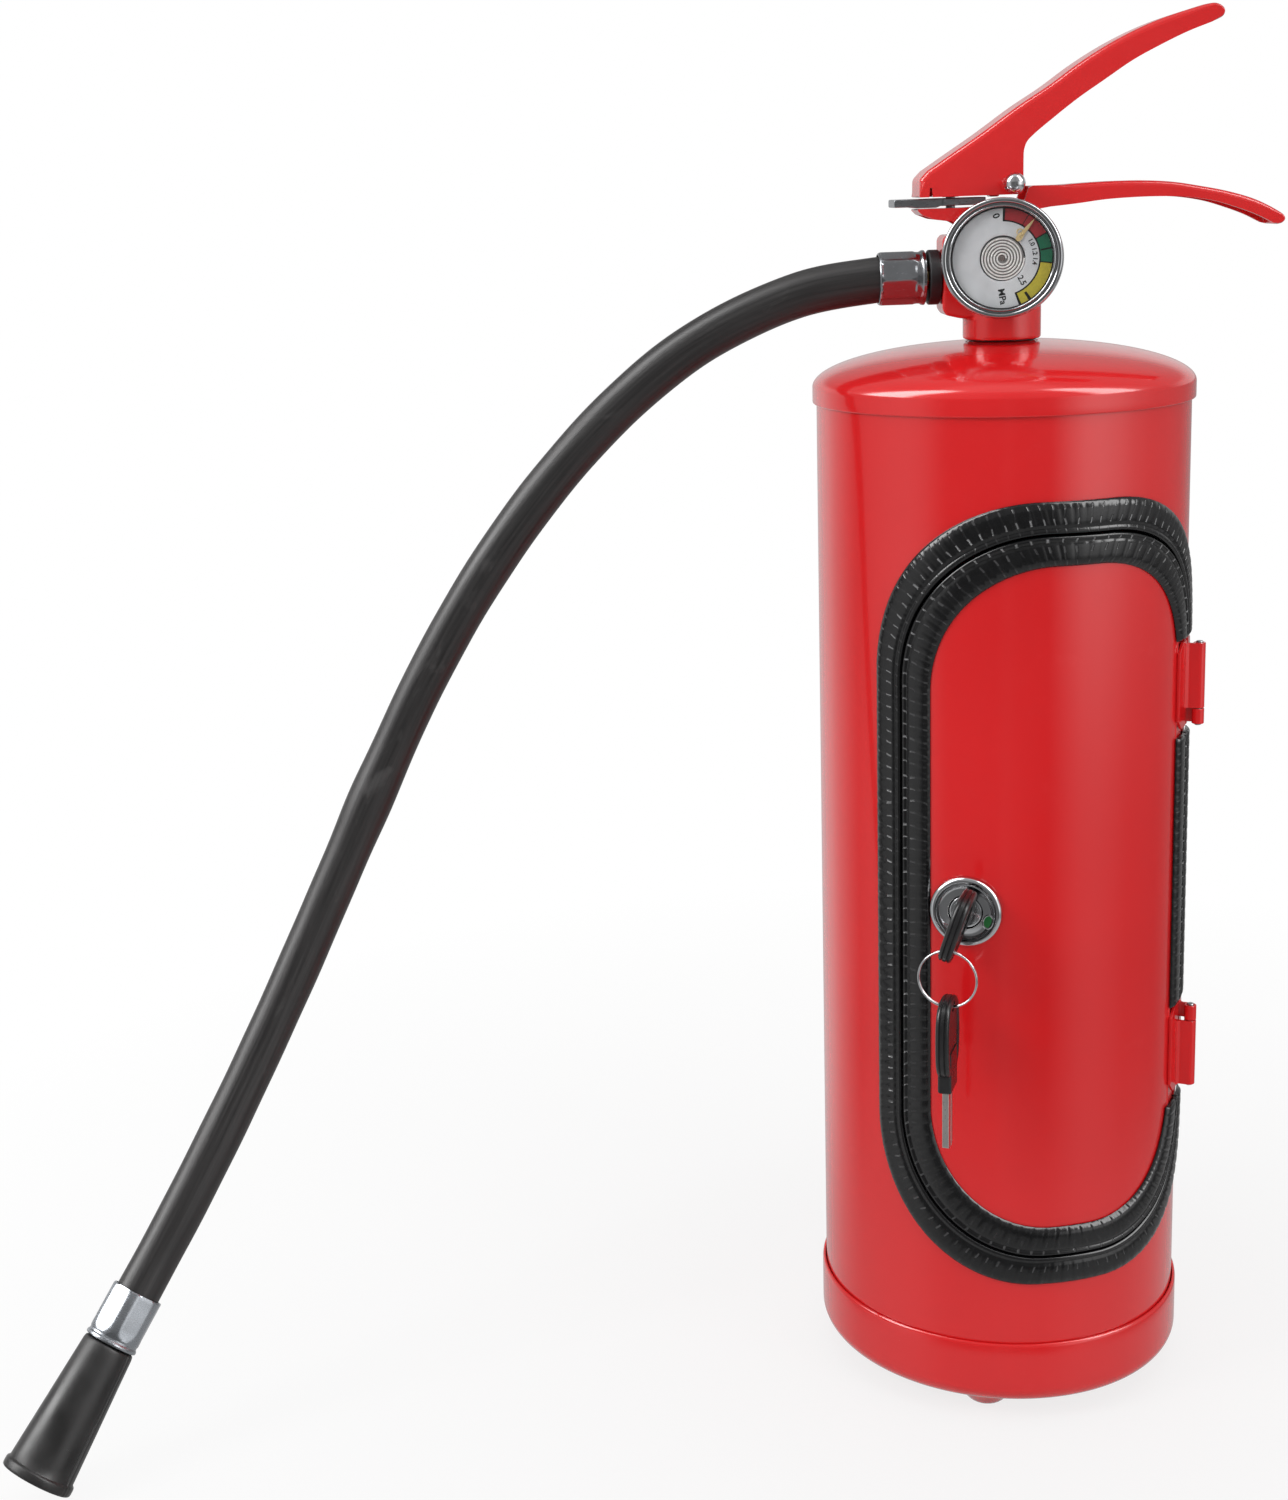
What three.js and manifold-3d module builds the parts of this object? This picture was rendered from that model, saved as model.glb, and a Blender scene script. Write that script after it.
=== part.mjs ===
// Lockable storage cabinet in the form of a dry-powder fire extinguisher.
// Units are millimetres, +Z up. Origin: centre of the flat underside of the
// bottom cap. The squeeze lever and carrying handle point along +X, the hose
// leaves along -X, and the door faces -Y, hinged on its +X edge.
import * as THREE from 'three';
import { mergeVertices } from 'three/addons/utils/BufferGeometryUtils.js';
import Module from 'manifold-3d';

const wasm = await Module();
wasm.setup();

// ---------- driving dimensions ----------
const GAP = 0.3;              // clearance between pieces that rest on each other
const SEG = 48;               // facets round the cylinder
const BODY_R = 65;            // outside radius of the cylinder
const SHEET = 1.2;            // steel thickness
const BODY_BORE = BODY_R - SHEET;

const CAP_R = 66.4;           // outside radius of both pressed caps
const CAP_BORE = CAP_R - 1.1;
const SEAM_LOW = 24;          // upper edge of the bottom cap
const SEAM_TOP = 354;         // lower edge of the top cap
const SKIRT_TOP = 362.9;      // where the dome starts
const DOME = 11.5;            // height of the dome
const CORNER_R = 7;           // rounded edge of the bottom cap, measured radially
const CORNER_H = 6.5;         // and measured upward
const FOOT_H = 6.5;           // pressed feet
const FOOT_RING = 49;         // radius of the circle the feet stand on
const FOOT_PHI = [-14, 106, 226];

// Door seam. Angles (phi) run in degrees round the axis, 0 at -Y, positive towards +X.
const SEAM = { left: -39.75, right: 66.5, low: 58, high: 315, corner: 51 };
const MM_PER_DEG = 1.152;     // arc length per degree when the seam is laid out flat
const SEAM_GAP = 0.35;        // half of the gap between the two trims
const EDGE = 1.5;             // sheet edge back from the seam
const TRIM_R = 67;            // outside radius of the trims
const TRIM_BORE = 61.9;       // inside radius of the trims
const BODY_TRIM_WIDTH = 11;
const DOOR_TRIM_WIDTH = 10.6;
const TRIM_LIP = 7;           // reach of the inner lip of either trim

// Each gap is the stretch of height where the trims are left out round a hinge.
const HINGES = [
  { name: 'upper_hinge', bottom: 240.5, top: 269.5, gap: [236.8, 271.6], bodyLow: true },
  { name: 'lower_hinge', bottom: 105.4, top: 135.6, gap: [99.8, 137.2], bodyLow: false },
];
const HINGE_R = 70.3;         // distance of the pins from the cylinder's axis
const HINGE_PHI = SEAM.right;
const KNUCKLE_H = 5.6;        // height of the body leaf's knuckle
const KNUCKLE_PLAY = 0.15;    // half of the gap between the knuckles

const LOCK_PHI = -19.4;
const LOCK_Z = 185.4;
const LOCK_SEG = 18;
const KEY_TILT = -18;
const KEY_HOLE = { out: 87, up: -7.6, radius: 2.3 };
const KEY_HALF = 2.3;         // half thickness of both key heads
const RING_R = 9.8;           // key ring centre line
const RING_WIRE_R = 0.65;

const PORT_Z = 397;           // height of the hose port's axis
const PLATE_RIVET_X = -18;
const CROSS_RIVETS = { handle_rivet_front: -7.5, handle_rivet_rear: 5.5 };   // x
const CROSS_RIVET_Z = 414.6;
const RIVET_BORE = 1.95;
const SAFETY_PIN = { x: 1.0, z: 428.2 };
const SPRING = { radius: 3.9, bottom: 372.8, top: 382.7, turns: 4, wireR: 0.5 };
const GAUGE_CENTRE = [-5.9, -33, 403.9];
const GAUGE_PHI = -13;
const GAUGE_UP = 3;           // degrees the dial leans back
const NEEDLE_TURN = -39.6;

// hose centre line, [x, y, z]
const HOSE_PATH = [
  [-27.5, 0, 397], [-34, 0, 397], [-40, 0, 396.9], [-45.5, 0.1, 396.5],
  [-70.7, 0.7, 392.5], [-105.0, 1.5, 377.8], [-132.2, 1.2, 358.0], [-160.0, 0.3, 329.9],
  [-186.4, -1.0, 295.5], [-208.1, -3.0, 260.2], [-226.3, -7.5, 224.7], [-245.1, -16.0, 185.5],
  [-262.1, -27.0, 150.4], [-280.6, -41.0, 114.5], [-297.7, -55.5, 83.8], [-308.1, -64.5, 66.4],
];
const NOZZLE_MOUTH = [-347.5, -103.2, 3.0];
const HOSE_R = 8;
const HOSE_BORE = 4.75;
const HOSE_TAIL = 33.7;       // straight end of the hose

// ---------- solids ----------
const DEG = Math.PI / 180;
const vec = (x, y, z) => new THREE.Vector3(x, y, z);
const UP = vec(0, 0, 1);

// welds a geometry and turns it into a solid with outward faces
function solid(geometry) {
  for (const name of Object.keys(geometry.attributes)) {
    if (name !== 'position') geometry.deleteAttribute(name);
  }
  const welded = mergeVertices(geometry, 1e-4);
  const position = welded.attributes.position;
  const index = welded.index.array;
  const corner = (i) => new THREE.Vector3().fromBufferAttribute(position, i);
  const tris = [];
  let volume = 0;
  for (let i = 0; i < index.length; i += 3) {
    const [a, b, c] = index.slice(i, i + 3);
    if (a === b || b === c || a === c) continue;
    tris.push(a, b, c);
    volume += corner(a).dot(corner(b).cross(corner(c)));
  }
  if (volume < 0) {
    for (let i = 0; i < tris.length; i += 3) [tris[i], tris[i + 1]] = [tris[i + 1], tris[i]];
  }
  return new wasm.Manifold(new wasm.Mesh({
    numProp: 3,
    vertProperties: new Float32Array(position.array),
    triVerts: new Uint32Array(tris),
  }));
}

function geometryOf(manifold) {
  const mesh = manifold.getMesh();
  const geometry = new THREE.BufferGeometry();
  const points = new Float32Array(mesh.vertProperties);
  geometry.setAttribute('position', new THREE.BufferAttribute(points, 3));
  geometry.setIndex(new THREE.BufferAttribute(new Uint32Array(mesh.triVerts), 1));
  return geometry;
}

const join = (first, ...others) => others.reduce((sum, part) => sum.add(part), first);
const cut = (part, ...tools) => tools.reduce((rest, tool) => rest.subtract(tool), part);

// profile of [r, z] pairs turned about the Z axis
function lathe(profile, seg = 16) {
  const points = profile.map(([r, z]) => new THREE.Vector2(r, z));
  return solid(new THREE.LatheGeometry(points, seg).rotateX(Math.PI / 2));
}
const rod = (r, z0, z1, seg = 16) => lathe([[0, z0], [r, z0], [r, z1], [0, z1]], seg);
const ring = (r0, r1, z0, z1, seg = 16) =>
  lathe([[r0, z0], [r1, z0], [r1, z1], [r0, z1], [r0, z0]], seg);

// points of an elliptical arc, angles in degrees
const arc = (angles, [x, y], [radiusX, radiusY]) =>
  angles.map((a) => [x + radiusX * Math.cos(a * DEG), y + radiusY * Math.sin(a * DEG)]);

function box(x0, x1, y0, y1, z0, z1) {
  const geometry = new THREE.BoxGeometry(x1 - x0, y1 - y0, z1 - z0);
  return solid(geometry.translate((x0 + x1) / 2, (y0 + y1) / 2, (z0 + z1) / 2));
}

// shape from [x, y] pairs, with an optional hole
function polygon(outer, hole) {
  const vectors = (pairs) => pairs.map(([x, y]) => new THREE.Vector2(x, y));
  const shape = new THREE.Shape(vectors(outer));
  if (hole) shape.holes.push(new THREE.Path(vectors(hole)));
  return shape;
}

// closed oval of [x, y] pairs; a power below 1 squares it off, turn -1 runs it clockwise
function oval(radiusX, radiusY, count, { x = 0, y = 0, turn = 1, power = 1 } = {}) {
  const bend = (value) => Math.sign(value) * Math.abs(value) ** power;
  return Array.from({ length: count }, (_, i) => {
    const angle = i / count * 2 * Math.PI;
    return [x + radiusX * bend(Math.cos(angle)), y + turn * radiusY * bend(Math.sin(angle))];
  });
}

const extrude = (shape, options) =>
  new THREE.ExtrudeGeometry(shape, { bevelEnabled: false, steps: 1, ...options });

// moves every vertex by map(x, y, z) -> [x, y, z]
function remap(geometry, map) {
  const p = geometry.attributes.position;
  for (let i = 0; i < p.count; i++) p.setXYZ(i, ...map(p.getX(i), p.getY(i), p.getZ(i)));
  return geometry;
}

// side view of [x, z] pairs, centred on y = 0
function plate(side, halfWidth) {
  const geometry = extrude(polygon(side), { depth: 2 * halfWidth });
  return solid(geometry.rotateX(Math.PI / 2).translate(0, halfWidth, 0));
}

// ---------- placing: local axes x, y, z given in the world ----------
const place = (part, origin, x, y, z) =>
  part.transform([...x, 0, ...y, 0, ...z, 0, ...origin, 1]);

// local z runs along a direction that isn't vertical
function placeAlong(part, from, direction) {
  const z = direction.clone().normalize();
  const x = UP.clone().cross(z).normalize();
  return place(part, from, x, z.clone().cross(x), z);
}
const across = (part, x, z) => placeAlong(part, vec(x, 0, z), vec(0, 1, 0));

const radial = (phi) => vec(Math.sin(phi * DEG), -Math.cos(phi * DEG), 0);
const tangent = (phi) => vec(Math.cos(phi * DEG), Math.sin(phi * DEG), 0);

// rounded rectangle of [angle, z] pairs, moved outward from the seam by offset
function outline(offset) {
  const steps = 6;
  const radius = SEAM.corner + offset * 0.75;
  const left = SEAM.left * MM_PER_DEG - offset + radius;
  const right = SEAM.right * MM_PER_DEG + offset - radius;
  const low = SEAM.low - offset + radius;
  const high = SEAM.high + offset - radius;
  const corners = [[right, high, 0], [left, high, 90], [left, low, 180], [right, low, 270]];
  return corners.flatMap(([x, z, start]) => {
    const angles = Array.from({ length: steps + 1 }, (_, i) => start + 90 * i / steps);
    return arc(angles, [x, z], [radius, radius]).map(([u, v]) => [u / MM_PER_DEG * DEG, v]);
  });
}

// the same outline as a radial wedge from near the axis to far outside
function wedge(offset) {
  const radii = [8, 61, 68, 300];
  const geometry = extrude(polygon(outline(offset)), { depth: 1, steps: 3 });
  return solid(remap(geometry, (angle, z, layer) => {
    const r = radii[Math.round(layer * 3)];
    return [r * Math.sin(angle), -r * Math.cos(angle), z];
  }));
}

// ---------- materials ----------
const paint = { color: 0xd4161c, roughness: 0.22, metalness: 0.0 };
const rubber = { color: 0x17171a, roughness: 0.55, metalness: 0.0 };
const plastic = { color: 0x121214, roughness: 0.35, metalness: 0.0 };
const chrome = { color: 0xd9dade, roughness: 0.12, metalness: 1.0 };
const zinc = { color: 0xb4b8be, roughness: 0.3, metalness: 1.0 };
const steel = { color: 0x9a9ea4, roughness: 0.35, metalness: 1.0 };
const brass = { color: 0xc9a24a, roughness: 0.3, metalness: 1.0 };
const dial = { color: 0xc3c5c9, roughness: 0.4, metalness: 0.3 };
const glass = {
  color: 0xf4f8fa, roughness: 0.02, metalness: 0.0, transparent: true, opacity: 0.25,
};

const model = new THREE.Group();
function add(name, manifold, look) {
  const mesh = new THREE.Mesh(geometryOf(manifold), new THREE.MeshStandardMaterial(look));
  mesh.name = name;
  model.add(mesh);
}

// ---------- cylinder and caps ----------
add('shell_body', cut(ring(BODY_BORE, BODY_R, 8, 358, SEG), wedge(EDGE)), paint);

const domeAngles = [0, 18, 38, 58, 79];
add('top_cap', cut(lathe([
  [CAP_BORE, SEAM_TOP],
  [CAP_R, SEAM_TOP],
  ...arc(domeAngles, [0, SKIRT_TOP], [CAP_R, DOME]),
  ...arc(domeAngles, [0, SKIRT_TOP], [CAP_BORE, DOME - SHEET]).reverse(),
  [CAP_BORE, SEAM_TOP],
], SEG), rod(12.6, 360, 380, 20)), paint);

const cornerAngles = [0, 30, 60, 90];
const cornerCentre = [CAP_R - CORNER_R, CORNER_H];
const bottomDish = lathe([
  [0, 0],
  ...arc(cornerAngles, cornerCentre, [CORNER_R, -CORNER_H]).reverse(),
  [CAP_R, SEAM_LOW],
  [CAP_BORE, SEAM_LOW],
  ...arc(cornerAngles, cornerCentre, [CAP_BORE - cornerCentre[0], SHEET - CORNER_H]),
  [0, SHEET],
], SEG);
const atFeet = (profile) => FOOT_PHI.map((phi) =>
  lathe(profile, 14).translate(radial(phi).multiplyScalar(FOOT_RING).toArray()));
const feet = atFeet([[0, 0.6], [12, 0.6], [12, 0], [9.2, -4.4], [6.6, -FOOT_H], [0, -FOOT_H]]);
const footFloor = SHEET - FOOT_H;
const footHollows = atFeet([
  [0, 3], [10.6, 3], [10.6, 0.6], [7.8, -3.9], [5.8, footFloor], [0, footFloor],
]);
add('bottom_cap', cut(join(bottomDish, ...feet), ...footHollows), paint);

add('neck_ring', ring(10.3, 12.2, 365, 374.3, 20), paint);
add('neck_gasket', ring(10.4, 12.6, 374.6, 375.3, 20), rubber);

// ---------- trims ----------
// U section gripping a sheet edge; side +1 is the body's trim, -1 the door's
function trim(side, width) {
  const band = (r0, r1, reach) => {
    const offsets = [side * SEAM_GAP, side * reach];
    const frame = wedge(Math.max(...offsets)).subtract(wedge(Math.min(...offsets)));
    return ring(r0, r1, 30, 345, SEG).intersect(frame);
  };
  return join(
    band(BODY_R + GAP, TRIM_R, width),
    band(TRIM_BORE, TRIM_R, EDGE - GAP),
    band(TRIM_BORE, BODY_BORE - GAP, TRIM_LIP),
  );
}
const hingeSide = (z0, z1) => box(45, 90, -45, 20, z0, z1);
const hingeGaps = HINGES.map(({ gap }) => hingeSide(...gap));
const betweenHinges = hingeSide(HINGES[1].gap[1], HINGES[0].gap[0]);
for (const [name, side, width] of [
  ['body_trim', 1, BODY_TRIM_WIDTH],
  ['door_trim', -1, DOOR_TRIM_WIDTH],
]) {
  const whole = trim(side, width);
  add(name, cut(whole, ...hingeGaps, betweenHinges), rubber);
  add(name + '_hinge_side', whole.intersect(betweenHinges), rubber);
}

// ---------- door ----------
// local x = round the cylinder, y = up, z = distance from the cylinder's axis
const atLock = (part) => place(part, vec(0, 0, LOCK_Z), tangent(LOCK_PHI), UP, radial(LOCK_PHI));
const doorSheet = ring(BODY_BORE, BODY_R, 20, 350, SEG).intersect(wedge(-EDGE));
add('door_panel', cut(doorSheet, atLock(rod(9.3, 40, 80, LOCK_SEG))), paint);

// ---------- hinges ----------
// local x = from the door towards the body, y = outward, z = up: a mirrored frame
const pinFoot = radial(HINGE_PHI).multiplyScalar(HINGE_R);
const atPin = (part) => place(part, pinFoot, tangent(HINGE_PHI), radial(HINGE_PHI), UP);

function addHinge({ name, bottom, top, bodyLow }) {
  const split = bodyLow ? bottom + KNUCKLE_H : top - KNUCKLE_H;
  const low = [bottom, split - KNUCKLE_PLAY];
  const high = [split + KNUCKLE_PLAY, top];

  // side +1 is the body, -1 the door
  const leaf = (side, knuckle) => {
    const span = (near, far) => (side > 0 ? [near, far] : [-far, -near]);
    const curl = rod(2.1, ...knuckle, 12).add(box(...span(1.0, 2.1), -4.6, 0, ...knuckle));
    const bevels = [bottom - 1, top + 1].map((z) =>
      box(-3, 3, -50, 20, -3, 3).rotate([0, -45, 0]).translate([side * 10.6, 0, z]));
    const patch = cut(box(...span(1.0, 10.2), -40, 8, bottom - 1, top + 1), ...bevels);
    const flap = ring(BODY_R + GAP, BODY_R + GAP + 1, bottom - 1.5, top + 1.5, SEG)
      .intersect(atPin(patch));
    return cut(atPin(curl).add(flap), atPin(rod(1.3, bottom - 2, top + 2, 12)));
  };
  add(name + '_body_leaf', leaf(1, bodyLow ? low : high), paint);
  add(name + '_door_leaf', leaf(-1, bodyLow ? high : low), paint);
  add(name + '_pin', atPin(lathe([
    [0, bottom - 0.6], [1.0, bottom - 0.6], [1.2, bottom - 0.3],
    [1.2, top + 0.3], [1.0, top + 0.6], [0, top + 0.6],
  ], 12)), steel);
}
HINGES.forEach(addHinge);

// ---------- lock ----------
const lockBarrel = rod(8.7, 48, 66, LOCK_SEG).intersect(box(-7.6, 7.6, -9, 9, 40, 70));
const lockRim = lathe([
  [0, 65.3], [12.3, 65.3], [12.3, 66.6], [11.0, 67.9], [8.6, 67.9], [7.8, 67.4], [0, 67.4],
], 24);
add('lock_body', atLock(cut(lockBarrel.add(lockRim), rod(5.95, 40, 80, LOCK_SEG))), chrome);
add('lock_nut', atLock(cut(rod(12.4, 59.3, 61.8, 6), rod(9.1, 50, 70, LOCK_SEG))), zinc);

const tilt = (part) => part.rotate([0, 0, KEY_TILT]);
const keyway = box(-1.3, 1.3, -4.1, 4.1, 48.6, 70);
const slottedPlug = tilt(cut(rod(5.6, 46.4, 67.2, LOCK_SEG), keyway));
add('lock_plug', atLock(cut(slottedPlug, rod(1.35, 44, 47.9, 10))), chrome);

// cranked cam pointing down, [height from the lock's axis, distance from the cylinder's axis]
const CAM_SIDE = [
  [-26, 52], [-26, 54], [-13.2, 54], [-9.6, 46.1], [6, 46.1], [6, 44.1], [-8.8, 44.1],
  [-12.4, 52],
];
const CAM_WIDTH = 10;
const camBlank = remap(extrude(polygon(CAM_SIDE), { depth: CAM_WIDTH }),
  (up, out, width) => [width - CAM_WIDTH / 2, up, out]);
add('lock_cam', atLock(cut(solid(camBlank), rod(1.8, 40, 50, 10))), zinc);
add('cam_screw', atLock(lathe([
  [0, 42.6], [2.6, 42.6], [3.2, 43.1], [3.2, 43.8], [1.05, 43.8], [1.05, 47.5], [0, 47.5],
], 10)), steel);

// ---------- keys ----------
// squared oval head; "out" sizes run along local z, "up" sizes along local y
function keyHead({ outR, upR, out, up, holeUp, holeR }) {
  const head = oval(outR, upR, 24, { x: out, y: up, power: 0.7 });
  const hole = oval(holeR, holeR, 10, { x: KEY_HOLE.out, y: holeUp, turn: -1 });
  return solid(remap(extrude(polygon(head, hole), { depth: KEY_HALF * 2 }),
    (z, y, thickness) => [thickness - KEY_HALF, y, z]));
}
add('key', atLock(tilt(join(
  keyHead({
    outR: 11.5, upR: 12.2, out: 81.5, up: 0, holeUp: KEY_HOLE.up, holeR: KEY_HOLE.radius,
  }),
  box(-0.95, 0.95, -3.7, 3.7, 49.4, 72),
  box(-KEY_HALF, KEY_HALF, -5.5, 5.5, 68.4, 74),
))), plastic);

// the ring hangs from the tilted key's hole, and the spare key from the ring
const holeX = -KEY_HOLE.up * Math.sin(KEY_TILT * DEG);
const holeY = KEY_HOLE.up * Math.cos(KEY_TILT * DEG);
const RING_DROP = 0.1;
const ringWire = arc([0, 60, 120, 180, 240, 300, 360], [RING_R, 0], [RING_WIRE_R, RING_WIRE_R]);
add('key_ring', atLock(lathe(ringWire, 28)
  .translate([holeX, holeY - RING_R - RING_DROP, KEY_HOLE.out])), zinc);

const spareTop = holeY - 2 * RING_R - RING_DROP;        // bottom of the ring
add('spare_key', atLock(join(
  keyHead({
    outR: 10.6, upR: 13.6, out: KEY_HOLE.out, up: spareTop - 10.4,
    holeUp: spareTop + 0.3, holeR: 1.9,
  }),
  box(-1.8, 1.8, -4, 3, -4.6, 4.6).translate([0, spareTop - 25, KEY_HOLE.out]),
  box(-0.95, 0.95, -50.5, -20, -3.7, 3.7).translate([0, spareTop, KEY_HOLE.out]),
).translate([holeX, 0, 0])), plastic);

// ---------- valve ----------
// gauge frame: local z points out of the dial
const gaugeOut = radial(GAUGE_PHI).multiplyScalar(Math.cos(GAUGE_UP * DEG))
  .addScaledVector(UP, Math.sin(GAUGE_UP * DEG));
const atGauge = (part) => placeAlong(part, vec(...GAUGE_CENTRE), gaugeOut);
// port frame: local z runs from the cylinder's axis to -X
const alongPort = (part) => placeAlong(part, vec(0, 0, PORT_Z), vec(-1, 0, 0));

const crossRivetHoles = Object.values(CROSS_RIVETS)
  .map((x) => across(rod(RIVET_BORE, -20, 20, 10), x, CROSS_RIVET_Z));
const plateRivetHole = rod(RIVET_BORE, 410, 430, 10).translate([PLATE_RIVET_X, 0, 0]);

const valveBlock = join(
  rod(9.9, 364, 377, 20),
  lathe([[0, 375.6], [13.5, 375.6], [13.5, 388.5], [12.4, 391], [12.4, 411.5], [0, 411.5]], 24),
  box(-11, 9, -6.6, 6.6, 405, 417),
  plate([
    [-21.8, 386], [-20.4, 384], [-15.5, 382.8], [-10, 382.6], [2, 382.6], [2, 411.5],
    [-20.4, 411.5], [-21.8, 410],
  ], 8),
  alongPort(rod(9.2, 0, 21.8, 20)),
  atGauge(rod(7.0, -33, -13.4, 16)),
);
add('valve_body', cut(
  valveBlock,
  rod(5.6, 360, 388.2, 16),
  rod(4.4, 388, 404, 16),
  rod(2.8, 403, 420, 12),
  alongPort(rod(4.7, 3, 30, 14)),
  atGauge(rod(4.95, -26, -10, 14)),
  ...crossRivetHoles,
), paint);

add('valve_stem', lathe([
  [0, 374], [1.5, 374], [1.5, 383.5], [4.9, 383.5], [4.9, 386.2], [2.4, 386.2],
  [2.4, 422.9], [1.8, 423.5], [0, 423.5],
], 12), steel);
add('stem_seal', ring(2.75, 4.9, 386.5, 387.8, 14), rubber);

class SpringCurve extends THREE.Curve {
  getPoint(t) {
    const { radius, bottom, top, turns } = SPRING;
    const angle = t * turns * 2 * Math.PI;
    return vec(radius * Math.cos(angle), radius * Math.sin(angle), bottom + (top - bottom) * t);
  }
}
const springWire = polygon(oval(SPRING.wireR, SPRING.wireR, 5));
add('stem_spring', solid(extrude(springWire, { steps: 40, extrudePath: new SpringCurve() })), steel);
add('spring_retainer', ring(2.0, 5.2, 368.5, 371.9, 14), brass);

add('fulcrum_plate', cut(plate([
  [-38.5, 421.2], [-38.5, 424], [-7, 424], [-7, 421.4], [-22.6, 421.4], [-24, 420.9],
  [-31, 420.9], [-33, 421.2],
], 8), plateRivetHole), zinc);
add('plate_rivet', lathe([
  [0, 416.6], [2.6, 416.6], [3.0, 417.1], [3.0, 418.1], [1.6, 418.1], [1.6, 424.3],
  [3.0, 424.3], [2.6, 425.3], [0, 425.3],
], 10).translate([PLATE_RIVET_X, 0, 0]), steel);

// ---------- carrying handle: side views as [x, z] ----------
const HANDLE_SIDE = [
  [9, 427.2], [19.5, 427.2], [28.9, 427.6], [38.3, 427.8], [47.7, 427.6], [57.1, 426.8],
  [66.5, 425.1], [76, 423], [85.5, 419.9], [93.1, 415.9], [95.6, 414], [95.4, 412.4],
  [94.2, 411.5], [91.4, 411.8], [85.6, 414.8], [79, 417.4], [71.3, 419.9], [61.9, 421.6],
  [52.5, 422.1], [43.1, 422.1], [33.7, 421.7], [24.3, 420.7], [14.9, 419.9], [11.6, 419.4],
  [10, 412.6], [-12, 412.6], [-18, 416], [-25, 417], [-29, 418.6], [-31, 420.6],
  [-3, 420.6], [-2, 418.4], [4.5, 418.4], [5.5, 420.6], [7.6, 426.6],
];
const HANDLE_HOLLOW = [
  [-40, 400], [-40, 418.4], [-13, 418.4], [-13, 440], [7.9, 440], [9.2, 425.7],
  [19.5, 425.6], [28.9, 426.1], [38.3, 426.3], [47.7, 426.1], [57.1, 425.3], [66.3, 423.6],
  [75.6, 421.5], [85.0, 418.4], [91.8, 414.8], [92.6, 413.6], [91, 400],
];
add('carry_handle', cut(
  plate(HANDLE_SIDE, 8.5),
  plate(HANDLE_HOLLOW, 7),
  plateRivetHole,
  ...crossRivetHoles,
), paint);

const crossRivet = lathe([
  [0, -9.9], [2.2, -9.5], [2.6, -8.8], [1.6, -8.8], [1.6, 8.8], [2.6, 8.8], [2.2, 9.5], [0, 9.9],
], 10);
for (const [name, x] of Object.entries(CROSS_RIVETS)) {
  add(name, across(crossRivet, x, CROSS_RIVET_Z), steel);
}

// ---------- squeeze lever: side views as [x, z] ----------
const LEVER_SIDE = [
  [-30, 424.5], [-30, 429.6], [-29.2, 431.6], [-27.3, 433.4], [-18.4, 439.2], [-9.1, 445.2],
  [3.8, 454.1], [14, 460.4], [23.2, 466.8], [32.3, 472.3], [41.5, 476.9], [50.7, 480.6],
  [59.8, 483.3], [68.1, 485.3], [70.8, 485], [72.6, 483.2], [72.3, 481.1], [68.2, 479.1],
  [60, 476.2], [50.8, 472.1], [41.7, 467.5], [32.5, 461.6], [23.3, 455.6], [14.1, 448.7],
  [8.6, 444.4], [6, 442.1], [5.2, 440], [5.2, 426.6], [4, 424.5],
];
const LEVER_HOLLOW = [
  [-28.8, 410], [-28.8, 428.8], [-27.6, 431.2], [-18, 437.6], [-8.5, 443.7], [4.4, 452.6],
  [14.6, 458.9], [23.8, 465.3], [32.9, 470.8], [42, 475.4], [51.1, 479.1], [60.2, 481.8],
  [68.0, 483.6], [70.2, 482.9], [71.4, 470], [60, 460], [30, 440], [12, 430], [12, 410],
];
const leverRib = plate([[-5, 423.9], [-1.6, 423.9], [-1.6, 449.3], [-5, 447.0]], 3);
add('squeeze_lever', cut(
  cut(plate(LEVER_SIDE, 11), plate(LEVER_HOLLOW, 9.7)).add(leverRib),
  across(rod(2.45, -20, 20, 14), SAFETY_PIN.x, SAFETY_PIN.z),
), paint);
add('safety_pin', across(lathe([
  [0, -21.6], [1.9, -21.2], [3.2, -20.0], [3.6, -18.6], [3.6, -17.6], [2.0, -17.2],
  [2.0, 13.4], [1.4, 14.4], [0, 14.4],
], 14), SAFETY_PIN.x, SAFETY_PIN.z), chrome);

// ---------- gauge ----------
const gaugeCup = lathe([
  [0, -10.4], [18.6, -10.4], [18.6, -2.2], [17.6, -2.2], [17.6, -9.4], [0, -9.4],
], 28);
add('gauge_case', atGauge(cut(gaugeCup, rod(2.2, -12, -8, 10))), steel);
add('gauge_stem', atGauge(cut(rod(4.5, -24, -10.7, 12), rod(1.2, -30, -5, 8))), brass);
add('gauge_dial', atGauge(ring(7.5, 17.2, -4.1, -3.5, 28)), dial);
add('bourdon_coil', atGauge(rod(7.1, -4.6, -3.3, 20).add(rod(1.3, -9.0, -2.9, 10))), brass);
const needleShape = polygon([
  [0.35, 15.6], [-0.35, 15.6], [-1.3, 8.2], [-0.5, 7.4], [0.5, 7.4], [1.3, 8.2],
]);
const needle = solid(extrude(needleShape, { depth: 0.4 }).translate(0, 0, -3.1));
add('gauge_needle', atGauge(needle.rotate([0, 0, NEEDLE_TURN])), brass);
add('gauge_lens', atGauge(rod(18.4, -1.9, -0.9, 28)), glass);
add('gauge_bezel', atGauge(lathe([
  [17.0, -0.6], [17.2, 0], [19.2, 0], [20.1, -1.0], [20.1, -9.2], [19.0, -9.2],
  [19.0, -0.6], [17.0, -0.6],
], 32)), chrome);

// ---------- hose ----------
add('hose_collar', alongPort(ring(4.9, 9.5, 22.1, 26.2, 20)), rubber);
add('hose_nipple', alongPort(ring(2.8, 4.0, 6, 37, 12)), brass);

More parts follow.
